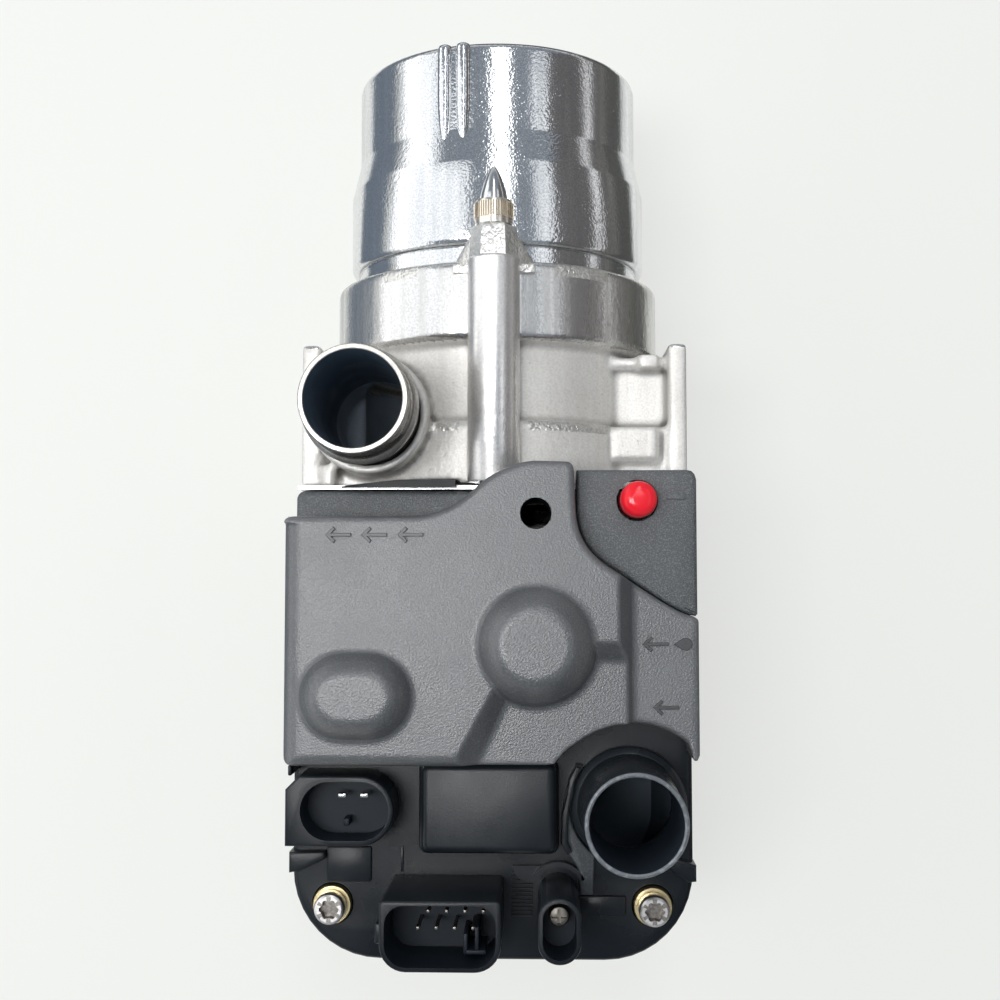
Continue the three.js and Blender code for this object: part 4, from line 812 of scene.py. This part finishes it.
lid_high = plate("lid_high", cover_outline, (82.4, 100), 1.1, 4)
carve(lid_high, side_step(19.9, 116))
carve(lid_high, cove(-44.8, 100, 4.2, -70, -8.6, "Y"))
carve(lid_high, cove(-60.9, 100, 2.6, -50, 60, "X"))
carve(lid_high, sloped(
    "lower_step", [(-7.2, -70), (60, -70), (60, -38.4), (24, -38.4), (12, -46.2), (4.0, -46.4)],
    [(-18.7, -70), (60, -70), (60, -29), (21, -29), (4, -36.4), (-2.3, -40.1)], (96, 105)))
lid_middle = plate("lid_middle", cover_outline, (82.4, 96), 1.0, 4)
carve(lid_middle, cove(-60.9, 96, 2.4, -50, 14, "X"))
carve(lid_middle, side_step(25.2, 105.4))
lid_low = plate("lid_low", cover_outline, (82.4, 93.6), 0.9, 3)
round_bulge = turned("round_bulge", [
    (0, 105), (6.9, 105), (8.0, 104.8), (9.0, 104.2), (10.1, 103.2), (11.4, 101.7), (12.4, 100.2),
    (13.0, 98.6), (13.4, 96.6), (14.0, 95.6), (14.0, 90), (0, 90),
], (9.9, -34.7, 0), "Z", 96)
oval_bulge = mound("oval_bulge", round_corners((-41.1, -16.3), (-55.4, -36.2), (9.55,) * 4, 12),
                   (-28.7, -45.8), [(97, 12.4, 9.6), (99.6, 12.3, 9.5), (101.2, 11.6, 8.8),
                                    (102.9, 10.5, 7.7), (104.2, 9.2, 6.4), (104.8, 8.2, 5.4),
                                    (105, 7.2, 4.4)])
lid = joined("lid", lid_high, lid_middle, lid_low, round_bulge, oval_bulge)
softened(lid, 0.5, 4)
carve(lid, rod("screw_access", *SCREW_ACCESS, 3.4, (80, 110), 64))
no_faces_picked(lid)
for face in lid.data.polygons:
    face.select = face.center.z < 82.75 * MM and face.normal.z < -0.5
switch("EDIT")
bpy.ops.mesh.delete(type="FACE")
switch("OBJECT")
changed(lid, "SOLIDIFY", thickness=1.6 * MM, offset=-1)
lid.name = "control_unit_lid"
shaded(lid, 60)


def mark(outline, x, y, z):
    """A mark that stands out of the cover, from an outline about its own left end."""
    return plate("mark", [(x + across, y + up) for across, up in outline], (z - 0.6, z + 0.55), 0.12, 2)


arrow = [(0, 0), (1.75, 1.75), (2.25, 1.25), (1.4, 0.38), (5.6, 0.38), (5.6, -0.38), (1.4, -0.38),
         (2.25, -1.25), (1.75, -1.75)]
drop = [(0, 0)] + [(2.6 - 1.4 * math.cos(turn), 1.4 * math.sin(turn))
                   for turn in (math.radians(60 + 24 * step) for step in range(11))]
marks = [mark(outline[::-1], x, y, z) for outline, x, y, z in (
    (arrow, -35.4, -11.2, 100), (arrow, -27.6, -11.2, 100), (arrow, -19.8, -11.2, 100),
    (arrow, 33.2, -34.9, 93.6), (drop, 40.0, -34.9, 93.6), (arrow, 35.4, -48.6, 93.6))]
lid = joined("control_unit_lid", lid, *marks)
lid_plastic = moulded("lid_plastic", (0.072, 0.076, 0.08), (0.21, 0.215, 0.22), 2500, 0.38, 0.08, 0.07, 0.3,
                      worn=0.6, shine=0.95, edge=0.512)
fitted(lid, "cover_plastic", lid_plastic, "control_unit_cover")
# Painted shade: the tops of the raised marks are painted darker so that they read dark.
mark_painted_shade = moulded("mark_painted_shade", (0.035, 0.037, 0.04), (0.08, 0.083, 0.087), 2300, 0.35, 0.05, 0.01,
                       shine=0.6)
refinished(lid, mark_painted_shade, lambda x, y, z: (z > 100.1 and x < -13.5 and -13.2 < y < -9.2)
           or (93.7 < z < 94.4 and x > 32.9 and (-37 < y < -33 or -50.6 < y < -46.6)))
# The screw hole's wall is painted near black, as painted shade.
refinished(lid, painted_recess_shade, lambda x, y, z: math.dist((x, y), SCREW_ACCESS) < 3.45)

# Fuel side cover: a smaller lid beside it, moulded in a blacker plastic with a coarse sandy grain. It
# snaps over the fuel pipe, whose cap comes up through a round hole.
fuel_outline = [(45.5, -28.4), (45.5, 1.3), (45.1, 2.5), (44.4, 3.2), (43.4, 3.4), (19.1, 3.4)] \
    + [(x + 0.45, y) for x, y in reversed(cover_seam)]
fuel_lid = plate("fuel_lid", fuel_outline, (82.4, 92), 0.9, 3)
carve(fuel_lid, rod("cap_opening", *FUEL, 4.6, (80, 95), 64))
fuel_inside = [(43.5, -25.5), (43.5, 1.4), (21.2, 1.4), (21.2, -9), (26, -15.5), (33, -20)]
carve(fuel_lid, plate("fuel_hollow", fuel_inside, (81, 90)))
sandy_plastic = moulded("sandy_plastic", (0.047, 0.053, 0.057), (0.2, 0.215, 0.225), 3100, 0.5, 0.06,
                        0.13, 0.6, worn=0.2, shine=0.75)
fuel_mark = block("fuel_mark", (39.0, 43.1), (-3.2, -1.9), (91.5, 92.3), 0.15)
fuel_lid = shaded(joined("fuel_lid", fuel_lid, fuel_mark), 40)
fitted(fuel_lid, "grained_plastic", sandy_plastic, "fuel_side_cover")
refinished(housing, sandy_plastic, lambda x, y, z: z > 80.6 and y > STRIP_Y)

# Fuel pipe's cap: a soft glossy red cap, moulded in one piece and pushed over the pipe's end. It keeps
# dirt out until the fuel hose is fitted.
cap = turned("red_fuel_cap", [
    (2.45, 88.5), (3.6, 88.5), (3.95, 88.9), (4.0, 89.6), (4.0, 96.4), (3.9, 97.2), (3.55, 98.0),
    (2.95, 98.6), (2.1, 98.92), (1.2, 99), (0, 99), (0, 97.3), (2.45, 97.3),
], (*FUEL, 0), "Z", 64)
cap_red = moulded("cap_red", (0.92, 0.009, 0.025), (0.85, 0.08, 0.09), 900, 0.16, 0.06, 0.006, shine=0.35)
fitted(shaded(cap, 35), "red_cap", cap_red, "fuel_pipe_cap", body="fuel_cap")

# Air intake pipe: an upright pipe on a round foot, moulded in black plastic and joined to the plate.
# Its thin rim is painted paler, as a painted highlight.
air_pipe = turned("air_intake_tube", [
    (9.8, 82.3), (13, 82.3), (13, 84.3), (12.7, 84.9), (11.6, 85.4), (11.3, 86.2), (11.1, 90), (10.9, 100),
    (10.9, 107.3), (10.75, 107.8), (10.4, 108), (10.1, 108), (9.85, 107.8), (9.8, 107.4),
], (*AIR, 0), "Z", 128)
pipe_bore = moulded("pipe_bore", (0.018, 0.026, 0.038), (0.03, 0.038, 0.05), 1200, 0.5, 0.1, 0.01,
                    worn=0.1, shine=0.3)
pipe_plastic = moulded("pipe_plastic", (0.018, 0.022, 0.027), (0.07, 0.078, 0.086), 2600, 0.3, 0.14, 0.02,
                       worn=0.2, shine=0.45)
rim_painted_highlight = moulded("rim_painted_highlight", (0.1, 0.115, 0.13), (0.3, 0.32, 0.34), 900, 0.35, 0.1, 0.02, 0.5, worn=0.2)
fitted(shaded(air_pipe, 40), "housing_plastic", pipe_plastic, "air_intake_pipe")
refinished(air_pipe, pipe_bore, lambda x, y, z: math.dist((x, y), AIR) < 9.95)
refinished(air_pipe, rim_painted_highlight, lambda x, y, z: z > 107.75)

# Sockets: three upright collars moulded in black plastic, each with a well that takes a plug and keys
# that let it in one way round.


def socket_collar(name, outer, well, z, floor, extras=()):
    """A collar with a rounded rim and a well sunk into it."""
    body = plate(name, outer, (82.3, z), 0.5, 3)
    for extra in extras:
        carve(body, extra, "UNION")
    carve(body, plate("well", well, (floor, z + 5)))
    return body


pump = socket_collar(
    "pump_socket_collar", round_corners((-42.5, -21.1), (-78.8, -63.6), (7.5,) * 4, 12),
    round_corners((-41.5, -22.1), (-77.55, -64.85), (6.3,) * 4, 12), 94, 84.5,
    [plate("collar_side", [(-44.8, -78.8), (-33.8, -78.8), (-33.8, -63.6), (-41.8, -63.6), (-44.8, -66.6)],
           (82.3, 94), 0.5, 3)])
pump_key = block("pump_key", (-32.7, -31.4), (-75.3, -73.6), (84, 89), 0.3)
pump_rib = block("pump_rib", (-44.6, -43.8), (-63.9, -61.6), (82.3, 92), 0.3)
harness = socket_collar(
    "harness_socket_collar", round_corners((-22.7, 2.7), (-101.9, -87.3), (5.6, 1.2, 1.2, 5.6), 8),
    round_corners((-21.6, 1.6), (-100.9, -88.3), (4.6, 4, 4, 4.6), 8), 106, 90)
harness_tab = block("harness_tab", (-24.0, -21.9), (-97.2, -93.0), (82.3, 102), 0.4)
harness_key = [block("harness_key", (-5.4, -4.5), (-99.4, -95.2), (89.8, 101), 0.25),
               block("harness_key", (-3.0, -2.1), (-98.6, -93.8), (89.8, 101), 0.25),
               block("harness_key", (-5.2, -0.6), (-99.5, -98.6), (89.8, 101), 0.25)]
aux = socket_collar(
    "aux_socket_collar", round_corners((10.3, 19.3), (-100.2, -86.6), (4.45,) * 4, 12),
    round_corners((11.3, 18.3), (-99.2, -87.6), (3.45,) * 4, 12), 106, 95)
pump = joined("pump_socket_collar", pump, pump_key, pump_rib)
harness = joined("harness_socket_collar", harness, harness_tab, *harness_key)
# Each socket's well is painted near black, as painted shade.
for socket, node, left, right, low, high, rim in (
        (pump, "pump_socket", -41.6, -22.0, -77.6, -64.8, 93.9),
        (harness, "harness_socket", -21.7, 1.7, -101, -88.2, 105.9),
        (aux, "aux_socket", 11.2, 18.4, -99.3, -87.5, 105.9)):
    fitted(shaded(socket, 35), "housing_plastic", black_plastic, node)
    refinished(socket, painted_recess_shade, lambda x, y, z: left < x < right and low < y < high and z < rim)

# Contacts: two flat blades, eight square pins and a round slotted one. They are cut or turned from
# metal, tinned, and stand in the floors of the sockets; the pins and the round one are painted darker, as
# painted shade.
contact_metal = cast_metal("contact_metal", (0.82, 0.81, 0.79), (0.6, 0.58, 0.55), 3000, 1200, 0.5, 0.2, 0.1,
                           0.004)
# Painted shade: a darker metal for the pins and the round contact down in their wells.
contact_painted_shade = cast_metal("contact_painted_shade", (0.24, 0.225, 0.2), (0.1, 0.09, 0.08), 2600, 1200, 0.5, 0.42, 0.1, 0.01)
for number, left in enumerate((-33.8, -28.9), 1):
    blade = block(f"pump_socket_blade_{number}", (left, left + 1.8), (-68.9, -68.0), (74, 90), 0.25)
    fitted(shaded(blade, 35), "steel", contact_metal, f"pump_blade_{number}")
pin_places = [(-10 + offset + 3.9 * column_no, -94.6 + row) for row, offset in ((3.7, -2.9), (0.2, -5.1))
              for column_no in range(4)]
for number, (pin_x, pin_y) in enumerate(pin_places, 1):
    pin = block(f"harness_socket_pin_{number}", (pin_x - 0.35, pin_x + 0.35), (pin_y - 0.35, pin_y + 0.35),
                (74, 100), 0.14)
    fitted(shaded(pin, 35), "steel", contact_painted_shade, f"harness_pin_{number}")
contact = turned("aux_socket_contact", [
    (0, 74), (2.1, 74), (2.2, 74.2), (2.2, 99.3), (1.9, 99.85), (1.4, 100), (0, 100),
], (14.8, -91.8, 0), "Z", 48)
carve(contact, block("slot_across", (13.2, 16.4), (-92.15, -91.45), (98.8, 101)))
carve(contact, block("slot_along", (14.45, 15.15), (-93.4, -90.2), (98.8, 101)))
fitted(shaded(contact, 35), "steel", contact_painted_shade, "aux_contact")

# Corner screws: steel screws with a six-lobed recess, which hold the tub to its plate; the recess is painted
# darker, as painted shade.
# Each stands in a turned brass sleeve that keeps the plastic from being crushed.
sleeve_brass = cast_metal("sleeve_brass", (0.74, 0.62, 0.36), (0.4, 0.3, 0.15), 1800, 700, 0.3, 0.3, 0.12,
                          0.01)
screw_steel = cast_metal("screw_steel", (0.74, 0.72, 0.7), (0.42, 0.4, 0.38), 1800, 500, 0.3, 0.34, 0.12,
                         0.02)
# Painted shade: a dark steel for the screws' recesses.
drive_painted_shade = cast_metal("drive_painted_shade", (0.3, 0.28, 0.26), (0.1, 0.09, 0.08), 1500, 500, 0.2, 0.4, 0.12,
                         0.03, speckle=0.6)
drive_lobes = []
for turn in (math.radians(5 * step) for step in range(72)):
    reach = 2.0 + 0.22 * math.cos(6 * turn)
    drive_lobes.append((reach * math.cos(turn), reach * math.sin(turn)))
for number, corner in enumerate(CORNERS, 1):
    sleeve = turned(f"corner_sleeve_ring_{number}", [
        (2.6, 60), (4.2, 60), (4.4, 60.3), (4.4, 83.1), (4.15, 83.5), (2.9, 83.5), (2.6, 83.2),
    ], (*corner, 0), "Z", 64)
    fitted(shaded(sleeve, 35), "brass", sleeve_brass, f"corner_sleeve_{number}")
    screw = turned(f"corner_cap_screw_{number}", [
        (0, 40), (2.1, 40), (2.3, 40.4), (2.3, 83.8), (3.3, 83.8), (3.4, 84), (3.4, 87.3), (3.2, 87.75),
        (2.8, 88), (0, 88),
    ], (*corner, 0), "Z", 64)
    carve(screw, plate("screw_drive", [(corner[0] + x, corner[1] + y) for x, y in drive_lobes], (85.8, 89)))
    fitted(shaded(screw, 30), "steel", screw_steel, f"corner_screw_{number}")
    refinished(screw, drive_painted_shade, lambda x, y, z: z > 85.7 and math.dist((x, y), corner) < 2.25)

# Body gasket: a flat rubber ring between the casting and the blower housing. Its outer lip stands up
# beside the exhaust pipe and folds over the edge of the thin burner plate.
gasket_ring = turned("gasket_ring", [(27, 1.2), (38.6, 1.2), (38.6, 2.8), (27, 2.8)], (0, 0, AXIS_Z), "Y", 96)
gasket_tongue = block("gasket_tongue", (-21.5, -8.3), (1.2, 1.8), (74, 82), 0.2)
lip_end, lip_full, lip_thick = -34.8, -21, 1.7
gasket_lip = filled("gasket_lip", [(x, 0.2, z) for x, z in (
    (lip_end, 81.6), (-33.4, 82.7), (-30.5, 83.6), (-26.5, 84.3), (lip_full, 84.8), (-14, 85), (-8.3, 85),
    (-8.3, 81.6))])
pulled(0, lip_thick, 0)
close_up()
for corner in gasket_lip.data.vertices:
    if corner.co.y > MM:
        corner.co.y -= 1.3 * MM * max(0, (lip_full - corner.co.x / MM) / (lip_full - lip_end))
gasket_rubber = moulded("gasket_rubber", (0.005, 0.006, 0.007), (0.02, 0.02, 0.02), 1100, 0.4, 0.2, 0.03,
                        worn=0.1, shine=0.3)
gasket = shaded(joined("body_gasket_ring", gasket_ring, gasket_tongue, gasket_lip), 30)
fitted(gasket, "seal_rubber", gasket_rubber, "body_gasket")

# Pieces inside: the finned exchanger, burner, blower, board and seals keep their plain solids, and
# each gets the finish of its real material.


def dressed(finish, *nodes):
    for node in nodes:
        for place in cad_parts[node].material_slots:
            place.material = finish


hot_steel = cast_metal("heat_tinted_steel", (0.62, 0.55, 0.48), (0.3, 0.24, 0.22), 700, 300, 0.4, 0.35,
                       0.2, 0.02)
plain_steel = cast_metal("plain_steel", (0.66, 0.67, 0.68), (0.45, 0.46, 0.47), 1500, 700, 0.5, 0.28,
                         0.12, 0.01)
copper_wound = cast_metal("copper_wound", (0.72, 0.4, 0.24), (0.3, 0.14, 0.08), 1800, 900, 0.6, 0.4,
                          0.1, 0.03)
board_green = moulded("board_green", (0.02, 0.12, 0.05), (0.05, 0.2, 0.09), 700, 0.35, 0.1, 0.01)
white_ceramic = moulded("white_ceramic", (0.8, 0.77, 0.7), (0.9, 0.88, 0.84), 1300, 0.6, 0.1, 0.01)
cup_ash = soot_coat("cup_ash", (0.62, 0.72, 0.85), (0.5, 0.6, 0.72))
dressed(cup_ash, "flame_cup")
dressed(satin_casting, "channel_plate", "chamber_lid")
dressed(hot_steel, "burner_tube", "burner_head", "evaporator_fleece")
dressed(plain_steel, "burner_plate", "overheat_sensor", "fuel_pipe", "motor_can", "motor_shaft",
        "capacitor_1", "capacitor_2", "bearing_low", "bearing_high")
dressed(copper_wound, "armature")
dressed(gasket_rubber, "jacket_seal_ring")
dressed(board_green, "control_board")
dressed(white_ceramic, "glow_plug")
dressed(black_plastic, "impeller", "magnet_ring")
